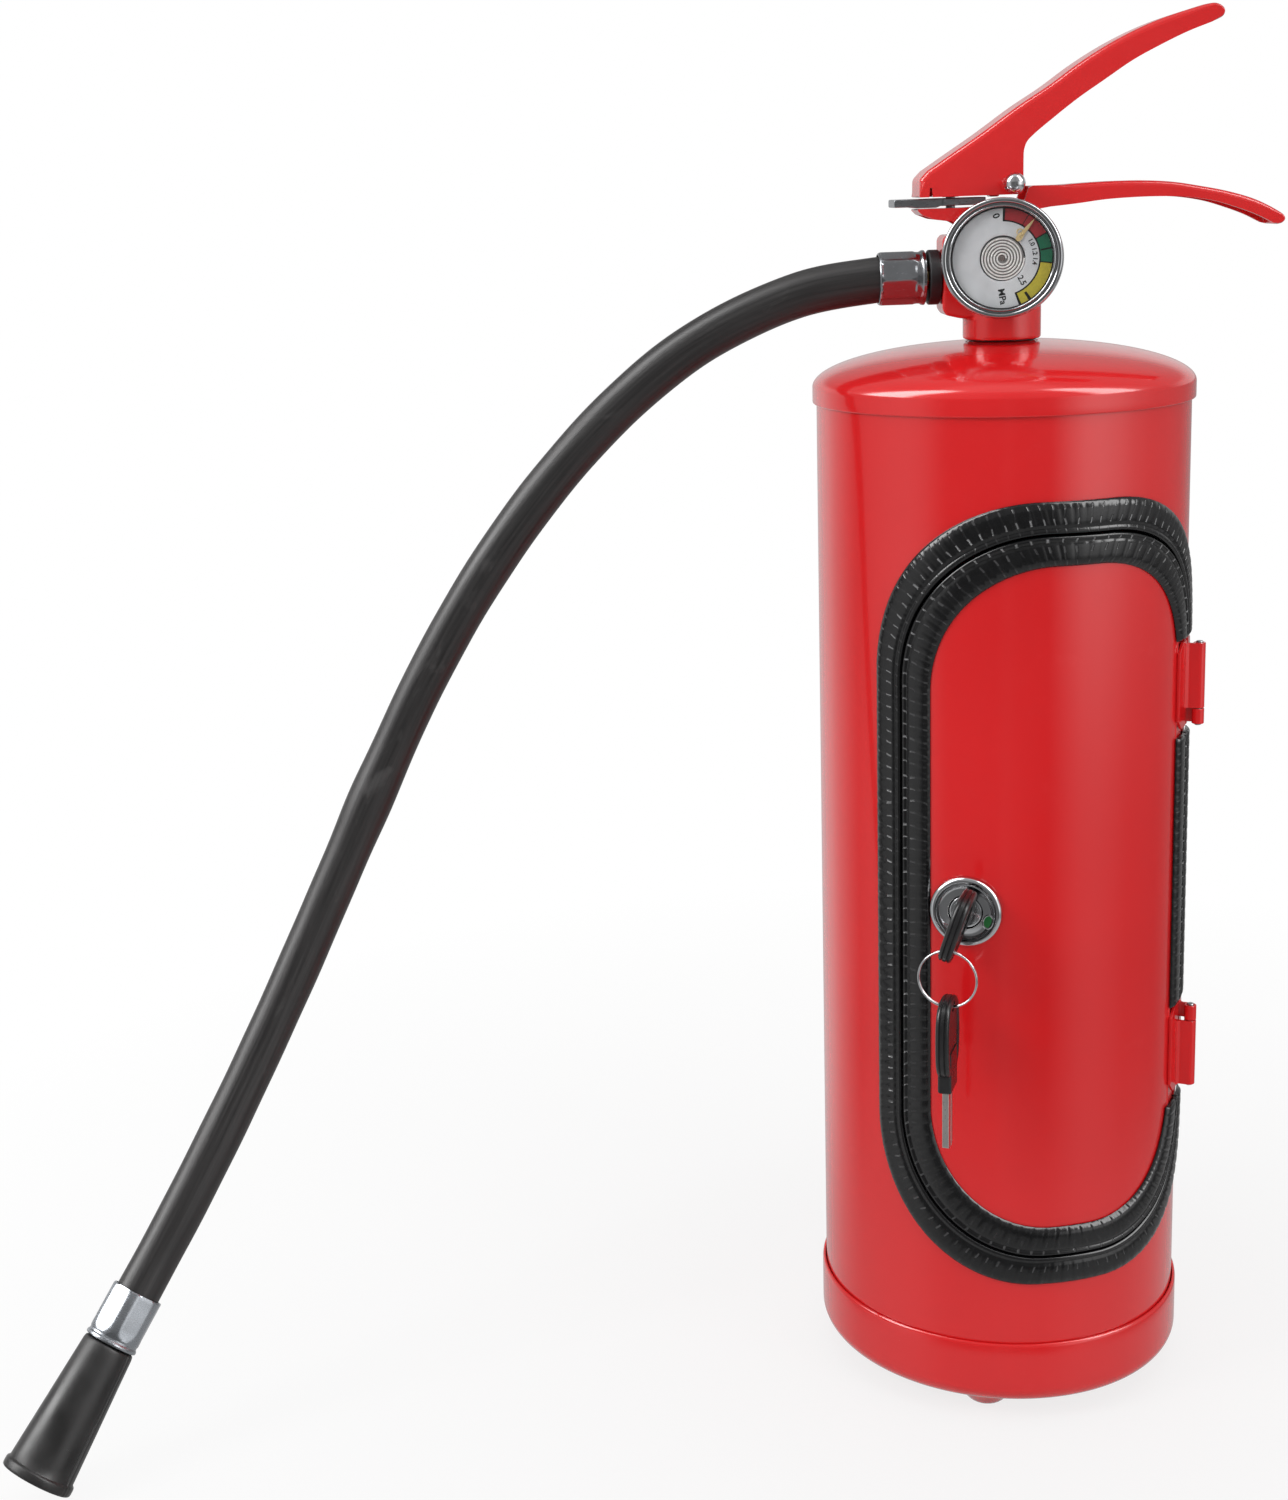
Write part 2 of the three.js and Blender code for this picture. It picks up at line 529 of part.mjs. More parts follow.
const mouth = vec(...NOZZLE_MOUTH);
const hosePoints = HOSE_PATH.map((p) => vec(...p));
const bendEnd = hosePoints.at(-1);
const endDir = mouth.clone().sub(bendEnd).normalize();
const tail = bendEnd.clone().addScaledVector(endDir, HOSE_TAIL);
hosePoints.push(bendEnd.clone().addScaledVector(endDir, HOSE_TAIL * 0.5), tail);
const hoseSection = polygon(
  oval(HOSE_R, HOSE_R, 12),
  oval(HOSE_BORE, HOSE_BORE, 8, { turn: -1 }),
);
const hoseCurve = new THREE.CatmullRomCurve3(hosePoints, false, 'centripetal');
add('hose', solid(extrude(hoseSection, { steps: 30, extrudePath: hoseCurve })), rubber);

add('upper_ferrule', alongPort(lathe([
  [8.4, 27.2], [9.5, 27.2], [9.5, 28.4], [8.95, 29], [9.2, 42.2], [8.8, 43.4], [8.4, 43.4],
  [8.4, 27.2],
], 20)), zinc);

// local z = 0 at the hose's lower end, running towards the nozzle mouth
const atTail = (part) => placeAlong(part, tail, endDir);
const ferruleRound = lathe([
  [0, -19.5], [8.9, -19.5], [9.6, -18], [9.6, -1], [9.0, 0.5], [0, 0.5],
], 18);
const ferruleHex = rod(9.7, -19, 0, 6).intersect(ferruleRound);
add('lower_ferrule', atTail(cut(ferruleHex, rod(8.4, -30, 10, 16))), zinc);

const nozzleEnd = mouth.distanceTo(tail);
add('nozzle', atTail(cut(lathe([
  [0, -12], [4.2, -12], [4.2, 0.6], [8.8, 0.6], [9.4, 1.4],
  [12.2, nozzleEnd - 3.6], [13.0, nozzleEnd - 3.2], [13.0, nozzleEnd - 0.6],
  [12.6, nozzleEnd], [10.2, nozzleEnd], [9.6, nozzleEnd - 8], [3.0, 8], [2.4, 2], [0, 2],
], 20), rod(2.4, -20, 4, 10))), plastic);

export default model;
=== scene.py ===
import math

import bmesh
import bpy
import numpy as np
from mathutils import Matrix, Vector


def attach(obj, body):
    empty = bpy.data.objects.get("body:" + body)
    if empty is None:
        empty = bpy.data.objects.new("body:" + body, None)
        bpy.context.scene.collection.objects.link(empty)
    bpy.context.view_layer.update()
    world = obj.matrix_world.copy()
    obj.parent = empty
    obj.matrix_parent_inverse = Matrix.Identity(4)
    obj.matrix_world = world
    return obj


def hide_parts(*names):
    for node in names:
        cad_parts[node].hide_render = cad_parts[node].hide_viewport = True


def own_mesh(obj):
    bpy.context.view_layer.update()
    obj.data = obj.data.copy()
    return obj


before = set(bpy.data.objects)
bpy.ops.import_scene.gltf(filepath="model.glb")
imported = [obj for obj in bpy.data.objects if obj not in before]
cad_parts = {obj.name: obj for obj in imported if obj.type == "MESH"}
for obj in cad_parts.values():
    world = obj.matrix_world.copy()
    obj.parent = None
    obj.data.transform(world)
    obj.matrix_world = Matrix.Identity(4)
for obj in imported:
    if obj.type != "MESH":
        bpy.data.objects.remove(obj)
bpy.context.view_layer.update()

MM = 0.001
rng = np.random.default_rng(11)
scene = bpy.context.scene
pi = math.pi

# ------------------------------------------------------------------ dimensions (mm, the CAD frame)
BODY_R, SHEET, CAP_R = 65.0, 1.2, 66.4
SEAM = dict(left=-39.75, right=66.5, low=58.0, high=315.0, corner=51.0)
PER_DEG = 1.152
LOCK_PHI, LOCK_Z, KEY_TILT = -19.4, 185.4, -18.0
HINGE_R, HINGE_PHI = 70.3, 66.5
HINGE_Z = [(240.5, 269.5), (105.4, 135.6)]
PORT_Z = 397.0


def radial(phi):
    a = math.radians(phi)
    return np.array([math.sin(a), -math.cos(a), 0.0])


def tangent(phi):
    a = math.radians(phi)
    return np.array([math.cos(a), math.sin(a), 0.0])


UP = np.array([0.0, 0.0, 1.0])


# ------------------------------------------------------------------ mesh helpers
def fillet(pts, rad, n=4, closed=True):
    """Rounds the corners of a 2-D outline; rad is one radius or one for each point."""
    P = [np.array(p, float) for p in pts]
    N, out = len(P), []
    for i in range(N):
        r = rad[i] if hasattr(rad, "__len__") else rad
        if r <= 0 or (not closed and i in (0, N - 1)):
            out.append(P[i])
            continue
        b = P[i]
        u, v = P[i - 1] - b, P[(i + 1) % N] - b
        lu, lv = np.linalg.norm(u), np.linalg.norm(v)
        u, v = u / lu, v / lv
        ang = math.acos(float(np.clip(u @ v, -1, 1)))
        if ang > math.radians(177) or ang < math.radians(3):
            out.append(b)
            continue
        t = min(r / math.tan(ang / 2), 0.48 * lu, 0.48 * lv)
        r2 = t * math.tan(ang / 2)
        bis = (u + v) / np.linalg.norm(u + v)
        cen = b + bis * (r2 / math.sin(ang / 2))
        p0, p1 = b + u * t - cen, b + v * t - cen
        a0, a1 = math.atan2(p0[1], p0[0]), math.atan2(p1[1], p1[0])
        d = (a1 - a0 + pi) % (2 * pi) - pi
        for k in range(n + 1):
            a = a0 + d * k / n
            out.append(cen + r2 * np.array([math.cos(a), math.sin(a)]))
    return np.array(out)


def smooth_path(pts, per=8, closed=False):
    """Centripetal Catmull-Rom through the points, per samples for each span."""
    P = [np.array(p, float) for p in pts]
    if closed:
        Q = [P[-1]] + P + [P[0], P[1]]
    else:
        Q = [2 * P[0] - P[1]] + P + [2 * P[-1] - P[-2]]
    out = []
    for i in range(1, len(Q) - 2):
        p0, p1, p2, p3 = Q[i - 1], Q[i], Q[i + 1], Q[i + 2]
        t0 = 0.0
        t1 = t0 + max(np.linalg.norm(p1 - p0), 1e-9) ** 0.5
        t2 = t1 + max(np.linalg.norm(p2 - p1), 1e-9) ** 0.5
        t3 = t2 + max(np.linalg.norm(p3 - p2), 1e-9) ** 0.5
        for k in range(per):
            t = t1 + (t2 - t1) * k / per
            a1 = (t1 - t) / (t1 - t0) * p0 + (t - t0) / (t1 - t0) * p1
            a2 = (t2 - t) / (t2 - t1) * p1 + (t - t1) / (t2 - t1) * p2
            a3 = (t3 - t) / (t3 - t2) * p2 + (t - t2) / (t3 - t2) * p3
            b1 = (t2 - t) / (t2 - t0) * a1 + (t - t0) / (t2 - t0) * a2
            b2 = (t3 - t) / (t3 - t1) * a2 + (t - t1) / (t3 - t1) * a3
            out.append((t2 - t) / (t2 - t1) * b1 + (t - t1) / (t2 - t1) * b2)
    if not closed:
        out.append(P[-1])
    return np.array(out)


def resample(path, step):
    P = np.array(path, float)
    s = np.concatenate([[0], np.cumsum(np.linalg.norm(np.diff(P, axis=0), axis=1))])
    n = max(2, int(round(s[-1] / step)) + 1)
    t = np.linspace(0, s[-1], n)
    return np.stack([np.interp(t, s, P[:, k]) for k in range(P.shape[1])], 1), t


def lathe(profile, seg=96, closed=False):
    verts, idx, faces = [], [], []
    c, s = np.cos(np.arange(seg) * 2 * pi / seg), np.sin(np.arange(seg) * 2 * pi / seg)
    for r, z in profile:
        if abs(r) < 1e-6:
            idx.append([len(verts)] * seg)
            verts.append((0.0, 0.0, z))
        else:
            base = len(verts)
            verts += [(r * c[j], r * s[j], z) for j in range(seg)]
            idx.append(list(range(base, base + seg)))
    n = len(profile)
    for i in range(n if closed else n - 1):
        A, B = idx[i], idx[(i + 1) % n]
        for j in range(seg):
            k = (j + 1) % seg
            f = [A[j], A[k], B[k], B[j]]
            f = [v for m, v in enumerate(f) if v != f[m - 1]]
            if len(f) > 2:
                faces.append(f)
    return np.array(verts), faces


def loft(rings, close_u=False, close_v=True, caps=True):
    """rings: array (n, m, 3); v runs round each ring."""
    R = np.array(rings, float)
    n, m = R.shape[:2]
    faces = []
    for i in range(n if close_u else n - 1):
        for j in range(m if close_v else m - 1):
            a, b = i, (i + 1) % n
            c, d = j, (j + 1) % m
            faces.append([a * m + c, a * m + d, b * m + d, b * m + c])
    if caps and not close_u:
        faces.append(list(range(m))[::-1])
        faces.append([(n - 1) * m + j for j in range(m)])
    return R.reshape(-1, 3), faces


def merge(*parts):
    verts, faces, base = [], [], 0
    for v, f in parts:
        verts.append(v)
        faces += [[i + base for i in q] for q in f]
        base += len(v)
    return np.concatenate(verts), faces


def place(v, origin, x, y, z):
    v = np.asarray(v, float)
    return np.asarray(origin, float) + v[:, :1] * x + v[:, 1:2] * y + v[:, 2:3] * z


def frame_along(origin, direction):
    z = np.array(direction, float)
    z /= np.linalg.norm(z)
    up = np.array([0.0, 1, 0]) if abs(z[2]) > 0.9 else np.array([0.0, 0, 1])
    x = np.cross(up, z)
    x /= np.linalg.norm(x)
    return np.array(origin, float), x, np.cross(z, x), z


def new_mesh(name, verts, faces, fix=True):
    me = bpy.data.meshes.new(name)
    me.from_pydata((np.asarray(verts, float) * MM).tolist(), [], [list(map(int, f)) for f in faces])
    if fix:
        bm = bmesh.new()
        bm.from_mesh(me)
        bmesh.ops.remove_doubles(bm, verts=bm.verts, dist=1e-7)
        bmesh.ops.dissolve_degenerate(bm, edges=bm.edges, dist=1e-8)
        bmesh.ops.recalc_face_normals(bm, faces=bm.faces)
        bm.to_mesh(me)
        bm.free()
    me.update()
    return me


def link(name, me):
    o = bpy.data.objects.new(name, me)
    scene.collection.objects.link(o)
    return o


def smooth(o, angle=38):
    me = o.data
    me.polygons.foreach_set("use_smooth", [True] * len(me.polygons))
    me.set_sharp_from_angle(angle=math.radians(angle))
    me.update()


def baked(o):
    """Applies the modifiers of a working object."""
    bpy.context.view_layer.update()
    dg = bpy.context.evaluated_depsgraph_get()
    me = bpy.data.meshes.new_from_object(o.evaluated_get(dg), preserve_all_data_layers=True, depsgraph=dg)
    old = o.data
    o.modifiers.clear()
    o.data = me
    me.name = o.name
    bpy.data.meshes.remove(old)
    return o


def boolean(o, cutters, op="DIFFERENCE"):
    tools = []
    for k, (v, f) in enumerate(cutters):
        t = link("tool", new_mesh("tool", v, f))
        tools.append(t)
        m = o.modifiers.new("cut", "BOOLEAN")
        m.operation, m.object, m.solver = op, t, "MANIFOLD"
    baked(o)
    for t in tools:
        me = t.data
        bpy.data.objects.remove(t)
        bpy.data.meshes.remove(me)
    return o


def weighted(o):
    m = o.modifiers.new("normals", "WEIGHTED_NORMAL")
    m.keep_sharp = True
    m.weight = 60


def bevel(o, width, seg=2, angle=40):
    m = o.modifiers.new("edges", "BEVEL")
    m.width, m.segments, m.limit_method, m.angle_limit = width * MM, seg, "ANGLE", math.radians(angle)
    m.miter_outer = "MITER_ARC"
    m.harden_normals = False


def piece(name, geo, mat, body, replaces=(), angle=38, weight=False, at=None):
    """geo: (verts, faces) in mm, or a finished working object."""
    if isinstance(geo, bpy.types.Object):
        o = geo
        o.name = name
    else:
        v, f = geo
        if at is not None:
            v = place(v, *at)
        o = link(name, new_mesh(name, v, f))
    o.data.name = name
    smooth(o, angle)
    if weight:
        weighted(o)
    mats = mat if isinstance(mat, (list, tuple)) else [mat]
    o.data.materials.clear()
    for m in mats:
        o.data.materials.append(m)
    if len(mats) == 1:
        o.data.polygons.foreach_set("material_index", [0] * len(o.data.polygons))
    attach(o, body)
    if replaces:
        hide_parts(*([replaces] if isinstance(replaces, str) else replaces))
    return o


def set_uv(o, uv_of_vertex):
    """One UV for each vertex, in millimetres along and across."""
    me = o.data
    layer = me.uv_layers.new(name="UVMap")
    loops = np.zeros(len(me.loops), np.int32)
    me.loops.foreach_get("vertex_index", loops)
    layer.data.foreach_set("uv", np.asarray(uv_of_vertex, np.float32)[loops].ravel())


# ------------------------------------------------------------------ materials
class Nodes:
    def __init__(self, name):
        self.mat = bpy.data.materials.new(name)
        self.mat.use_nodes = True
        self.t = self.mat.node_tree
        self.t.nodes.clear()
        self.out = self.t.nodes.new("ShaderNodeOutputMaterial")
        self.p = self.t.nodes.new("ShaderNodeBsdfPrincipled")
        self.t.links.new(self.p.outputs[0], self.out.inputs[0])
        self.coord = self.t.nodes.new("ShaderNodeTexCoord")

    def new(self, kind, **props):
        n = self.t.nodes.new(kind)
        for k, v in props.items():
            setattr(n, k, v)
        return n

    def link(self, a, b):
        self.t.links.new(a, b)

    def set(self, **values):
        for k, v in values.items():
            self.p.inputs[k.replace("_", " ")].default_value = v

    def noise(self, scale, detail=3.0, rough=0.5, vector=None, distortion=0.0):
        n = self.new("ShaderNodeTexNoise")
        n.inputs["Scale"].default_value = scale
        n.inputs["Detail"].default_value = detail
        n.inputs["Roughness"].default_value = rough
        n.inputs["Distortion"].default_value = distortion
        self.link(vector or self.coord.outputs["Object"], n.inputs["Vector"])
        return n.outputs["Fac"]

    def voronoi(self, scale, feature="F1", vector=None):
        n = self.new("ShaderNodeTexVoronoi", feature=feature)
        n.inputs["Scale"].default_value = scale
        self.link(vector or self.coord.outputs["Object"], n.inputs["Vector"])
        return n

    def mapping(self, scale, source="Object"):
        n = self.new("ShaderNodeMapping")
        n.inputs["Scale"].default_value = scale
        self.link(self.coord.outputs[source], n.inputs["Vector"])
        return n.outputs[0]

    def ramp(self, fac, stops):
        n = self.new("ShaderNodeValToRGB")
        e = n.color_ramp.elements
        while len(e) < len(stops):
            e.new(0.5)
        for el, (p, c) in zip(e, stops):
            el.position = p
            el.color = c if len(c) == 4 else (*c, 1)
        self.link(fac, n.inputs[0])
        return n.outputs[0]

    def rng(self, fac, a, b, lo=0.0, hi=1.0):
        n = self.new("ShaderNodeMapRange")
        n.inputs["From Min"].default_value, n.inputs["From Max"].default_value = lo, hi
        n.inputs["To Min"].default_value, n.inputs["To Max"].default_value = a, b
        self.link(fac, n.inputs["Value"])
        return n.outputs[0]

    def math(self, op, a, b=None):
        n = self.new("ShaderNodeMath", operation=op)
        for i, v in enumerate((a, b)):
            if v is None:
                continue
            if isinstance(v, (int, float)):
                n.inputs[i].default_value = v
            else:
                self.link(v, n.inputs[i])
        return n.outputs[0]

    def mix(self, fac, a, b, blend="MIX"):
        n = self.new("ShaderNodeMix", data_type="RGBA", blend_type=blend)
        for sock, v in ((n.inputs["Factor"], fac), (n.inputs["A"], a), (n.inputs["B"], b)):
            if sock.type == "VALUE" and isinstance(v, (int, float)):
                sock.default_value = v
            elif isinstance(v, (tuple, list)):
                sock.default_value = (*v, 1) if len(v) == 3 else v
            else:
                self.link(v, sock)
        for i, v in ((6, a), (7, b)):
            if isinstance(v, (tuple, list)):
                n.inputs[i].default_value = (*v, 1) if len(v) == 3 else v
            else:
                self.link(v, n.inputs[i])
        if isinstance(fac, (int, float)):
            n.inputs[0].default_value = fac
        else:
            self.link(fac, n.inputs[0])
        return n.outputs[2]

    def bump(self, height, strength, distance_mm, normal=None):
        n = self.new("ShaderNodeBump")
        n.inputs["Strength"].default_value = strength
        n.inputs["Distance"].default_value = distance_mm * MM
        self.link(height, n.inputs["Height"])
        if normal is not None:
            self.link(normal, n.inputs["Normal"])
        return n.outputs[0]

    def to(self, socket, name):
        self.link(socket, self.p.inputs[name])


def paint(name, base, rough=0.14, peel=0.02, coat=0.55):
    m = Nodes(name)
    big = m.noise(9.0, 2, 0.5)
    fine = m.noise(160.0, 3, 0.55)
    darker = tuple(c * 0.95 for c in base)
    lighter = tuple(min(1.0, c * 1.05 + 0.004) for c in base)
    col = m.mix(m.rng(big, 0.0, 1.0, 0.3, 0.7), darker, lighter)
    # faint rubs and a few specks of dust
    rub = m.math("MULTIPLY", m.rng(m.noise(52.0, 5, 0.7), 0.0, 1.0, 0.63, 0.72), 0.10)
    col = m.mix(rub, col, tuple(min(1.0, c * 1.1 + 0.03) for c in base))
    speck = m.voronoi(140.0)
    dust = m.ramp(speck.outputs["Distance"], [(0.015, (1, 1, 1)), (0.03, (0, 0, 0))])
    keep = m.math("GREATER_THAN", m.noise(35.0, 1), 0.68)
    col = m.mix(m.math("MULTIPLY", m.math("MULTIPLY", dust, keep), 0.35), col, (0.9, 0.35, 0.33))
    m.to(col, "Base Color")
    m.to(m.rng(fine, rough * 0.9, rough * 1.15, 0.3, 0.7), "Roughness")
    n1 = m.bump(m.noise(430.0, 2, 0.5), peel, 0.06)
    n2 = m.bump(m.noise(14.0, 1, 0.4), 0.014, 0.25, n1)
    m.to(n2, "Normal")
    m.set(IOR=1.5, Coat_Weight=coat, Coat_Roughness=0.04, Coat_IOR=1.5)
    m.p.inputs["Specular IOR Level"].default_value = 0.5
    return m.mat


def metal(name, base, rough=0.18, brushed=None, mottle=0.0, bump=0.03, tint=None, metallic=1.0):
    m = Nodes(name)
    grain = m.noise(600.0, 3, 0.6, m.mapping(brushed) if brushed else None)
    cloud = m.noise(55.0, 3, 0.6)
    dark = tuple(c * (1 - 0.14 - mottle) for c in base)
    col = m.mix(m.rng(cloud, 0.0, 1.0, 0.3, 0.7), dark, base)
    if mottle:
        v = m.voronoi(260.0)
        col = m.mix(m.rng(v.outputs["Color"], 0.0, mottle, 0.0, 1.0), col, tint or (0.45, 0.5, 0.56))
    m.to(col, "Base Color")
    m.to(m.rng(grain, rough * 0.7, rough * 1.45, 0.25, 0.75), "Roughness")
    n = m.bump(grain, bump, 0.05)
    n = m.bump(m.noise(90.0, 2, 0.5), 0.1, 0.1, n)
    m.to(n, "Normal")
    m.set(Metallic=metallic)
    return m.mat


def plastic(name, base, rough=0.3, grain=0.08, scale=900.0):
    m = Nodes(name)
    g = m.noise(scale, 3, 0.6)
    smear = m.noise(60.0, 3, 0.6)
    m.to(m.mix(m.rng(smear, 0, 1, 0.35, 0.7), base, tuple(c * 1.7 + 0.004 for c in base)), "Base Color")
    m.to(m.rng(smear, rough * 0.8, rough * 1.35, 0.3, 0.7), "Roughness")
    m.to(m.bump(g, grain, 0.05), "Normal")
    return m.mat


def rubber_trim(name, near, mid, far):
    """Moulded edge trim: embossed dashes in rows near, mid and far from the seam, each dash also lightened to grey in
    the base colour as a painted highlight glint; u runs along it and v across it, in millimetres.
    """
    m = Nodes(name)
    uv = m.mapping((1.0, 1.0, 1.0), "UV")
    split = m.new("ShaderNodeSeparateXYZ")
    m.link(m.coord.outputs["UV"], split.inputs[0])
    drift = m.math("MULTIPLY", m.noise(0.11, 2, 0.5, uv), 0.9)
    step = m.math("FRACT", m.math("ADD", m.math("DIVIDE", split.outputs[0], 4.3), drift))
    dash = m.ramp(step, [(0.405, (0, 0, 0)), (0.465, (1, 1, 1)), (0.535, (1, 1, 1)), (0.595, (0, 0, 0))])
    stops = [(0.262, 0), (0.275, near), (0.330, near), (0.345, 0), (0.400, 0), (0.415, mid), (0.500, mid), (0.515, 0.04), (0.650, 0.04), (0.675, far), (0.725, far), (0.75, 0)]
    rows_ = m.ramp(m.math("DIVIDE", split.outputs[1], 20.0), [(p_, (k_, k_, k_)) for p_, k_ in stops])
    fade = m.rng(m.noise(0.09, 2, 0.5, uv), 0.25, 1.0, 0.34, 0.54)
    rough_noise = m.noise(1.4, 3, 0.6, uv)
    # the dashes, with their painted highlight, fade towards the bottom
    place_ = m.new("ShaderNodeSeparateXYZ")
    m.link(m.coord.outputs["Object"], place_.inputs[0])
    dash_fade_low = m.rng(place_.outputs[2], 0.22, 1.0, 0.10, 0.235)
    # dash mask: drives the embossed relief and the painted highlight glint
    dash_relief_and_glint = m.math("MULTIPLY", m.math("MULTIPLY", m.math("MULTIPLY", dash, rows_), fade), dash_fade_low)
    height = m.math("SUBTRACT", m.math("MULTIPLY", rough_noise, 0.03), dash_relief_and_glint)
    m.to(m.bump(height, 1.0, 0.5), "Normal")
    smear = m.noise(0.25, 4, 0.65, uv)
    black = m.mix(m.rng(smear, 0, 1, 0.35, 0.75), (0.0040, 0.0040, 0.0044), (0.0085, 0.0085, 0.0092))
    # painted highlight: the dashes are lightened to grey to stand for glints
    m.to(m.mix(m.math("MULTIPLY", dash_relief_and_glint, 0.85), black, (0.26, 0.26, 0.265)), "Base Color")
    m.to(m.rng(rough_noise, 0.12, 0.22, 0.3, 0.7), "Roughness")
    m.p.inputs["Specular IOR Level"].default_value = 0.55
    return m.mat


def hose_rubber(name):
    m = Nodes(name)
    uv = m.mapping((1.0, 1.0, 1.0), "UV")
    streak = m.noise(1.0, 4, 0.6, m.mapping((0.018, 0.75, 1.0), "UV"))
    patch = m.noise(1.0, 4, 0.62, m.mapping((0.045, 0.11, 1.0), "UV"), 0.4)
    base = m.mix(m.rng(streak, 0, 1, 0.35, 0.7), (0.0135, 0.0125, 0.0125), (0.032, 0.030, 0.030))
    scuff = m.ramp(patch, [(0.60, (0, 0, 0)), (0.74, (1, 1, 1))])
    base = m.mix(m.math("MULTIPLY", scuff, 0.5), base, (0.075, 0.072, 0.072))
    m.to(base, "Base Color")
    m.to(m.math("ADD", m.rng(streak, 0.34, 0.5, 0.3, 0.7), m.math("MULTIPLY", scuff, 0.1)), "Roughness")
    grain = m.noise(2.6, 3, 0.6, uv)
    lay = m.noise(1.0, 2, 0.5, m.mapping((0.06, 1.6, 1.0), "UV"))
    n = m.bump(grain, 0.18, 0.08)
    m.to(m.bump(lay, 0.2, 0.12, n), "Normal")
    return m.mat


def dial_metal(name):
    m = Nodes(name)
    g = m.noise(1500.0, 4, 0.7)
    cloud = m.noise(120.0, 3, 0.6)
    m.to(m.mix(m.rng(cloud, 0, 1, 0.3, 0.7), (0.62, 0.63, 0.65), (0.76, 0.77, 0.79)), "Base Color")
    m.to(m.rng(g, 0.32, 0.55, 0.3, 0.7), "Roughness")
    m.to(m.bump(g, 0.3, 0.03), "Normal")
    m.set(Metallic=0.12)
    return m.mat


def print_ink(name, base):
    m = Nodes(name)
    g = m.noise(1100.0, 3, 0.6)
    m.to(m.mix(m.rng(g, 0, 1, 0.3, 0.7), tuple(c * 0.82 for c in base), base), "Base Color")
    m.to(m.rng(g, 0.35, 0.55, 0.3, 0.7), "Roughness")
    m.to(m.bump(g, 0.15, 0.03), "Normal")
    return m.mat


def clear_lens(name):
    m = Nodes(name)
    t = m.t
    clear = t.nodes.new("ShaderNodeBsdfTransparent")
    clear.inputs[0].default_value = (0.997, 1.0, 1.0, 1)
    gloss = t.nodes.new("ShaderNodeBsdfGlossy")
    smear = m.noise(60.0, 3, 0.6)
    m.link(m.rng(smear, 0.015, 0.06, 0.4, 0.75), gloss.inputs["Roughness"])
    m.link(m.bump(m.noise(25.0, 2, 0.5), 0.05, 0.1), gloss.inputs["Normal"])
    fres = t.nodes.new("ShaderNodeFresnel")
    fres.inputs[0].default_value = 1.45
    mix = t.nodes.new("ShaderNodeMixShader")
    fac = m.math("ADD", m.math("MULTIPLY", fres.outputs[0], 0.6), m.rng(smear, 0.0, 0.015, 0.4, 0.8))
    ray = t.nodes.new("ShaderNodeLightPath")
    fac = m.math("MULTIPLY", fac, m.math("SUBTRACT", 1.0, ray.outputs["Is Shadow Ray"]))
    m.link(fac, mix.inputs[0])
    m.link(clear.outputs[0], mix.inputs[1])
    m.link(gloss.outputs[0], mix.inputs[2])
    m.link(mix.outputs[0], m.out.inputs[0])
    t.nodes.remove(m.p)
    return m.mat


RED = (0.685, 0.0100, 0.0120)
M = dict(
    body=paint("body_paint", RED, 0.15, 0.02),
    valve=paint("valve_paint", (0.66, 0.0125, 0.0135), 0.2, 0.04, 0.45),
    trim=rubber_trim("trim_rubber", 0.1, 1.0, 0.25),
    trim_door=rubber_trim("trim_rubber_door", 1.0, 0.22, 0.15),
    hose=hose_rubber("hose_rubber"),
    seal=plastic("seal_rubber", (0.010, 0.010, 0.011), 0.5, 0.12, 700.0),
    plastic=plastic("black_plastic", (0.0085, 0.0085, 0.009), 0.26, 0.06, 1100.0),
    nozzle=plastic("nozzle_plastic", (0.011, 0.0105, 0.0105), 0.34, 0.12, 800.0),
    chrome=metal("chrome", (0.70, 0.71, 0.73), 0.085, None, 0.0, 0.012),
    zinc=metal("zinc", (0.50, 0.525, 0.56), 0.28, (1.0, 5.0, 5.0), 0.16, 0.16),
    plate=metal("worn_zinc", (0.42, 0.43, 0.45), 0.32, (1.0, 6.0, 6.0), 0.1, 0.1),
    steel=metal("steel", (0.52, 0.53, 0.55), 0.28, (6.0, 6.0, 1.0), 0.05, 0.06),
    key_steel=metal("key_steel", (0.74, 0.71, 0.68), 0.3, (3.0, 3.0, 0.6), 0.03, 0.08),
    rim=metal("rim_chrome", (0.50, 0.505, 0.52), 0.1, None, 0.0, 0.02),
    ferrule=metal("ferrule_steel", (0.40, 0.41, 0.43), 0.2, (1.0, 4.0, 4.0), 0.06, 0.08),
    brass=metal("brass", (0.72, 0.50, 0.19), 0.22, None, 0.04, 0.04, (0.5, 0.32, 0.1)),
    coil=metal("coil_bronze", (0.95, 0.92, 0.90), 0.3, None, 0.0, 0.02, None, 0.2),
    # darker than the coil tube so the gaps between its turns read dark: painted shade between the turns
    coil_tray_gap_shade=metal("coil_tray_gap_shade", (0.40, 0.375, 0.365), 0.3, None, 0.0, 0.02, None, 0.4),
    coil_dark=metal("coil_centre", (0.22, 0.18, 0.165), 0.3, None, 0.0, 0.02, None, 0.3),
    gold=metal("needle_gold", (0.86, 0.66, 0.34), 0.3, None, 0.0, 0.02, None, 0.35),
    dial=dial_metal("dial_face"),
    ink_red=print_ink("ink_red", (0.40, 0.022, 0.030)),
    ink_green=print_ink("ink_green", (0.012, 0.17, 0.085)),
    ink_yellow=print_ink("ink_yellow", (0.60, 0.50, 0.045)),
    ink_black=print_ink("ink_black", (0.012, 0.012, 0.012)),
    green_mark=print_ink("green_mark", (0.008, 0.16, 0.03)),
    lens=clear_lens("lens"),
)

# ------------------------------------------------------------------ door outline
LEFT, RIGHT = SEAM["left"] * PER_DEG, SEAM["right"] * PER_DEG


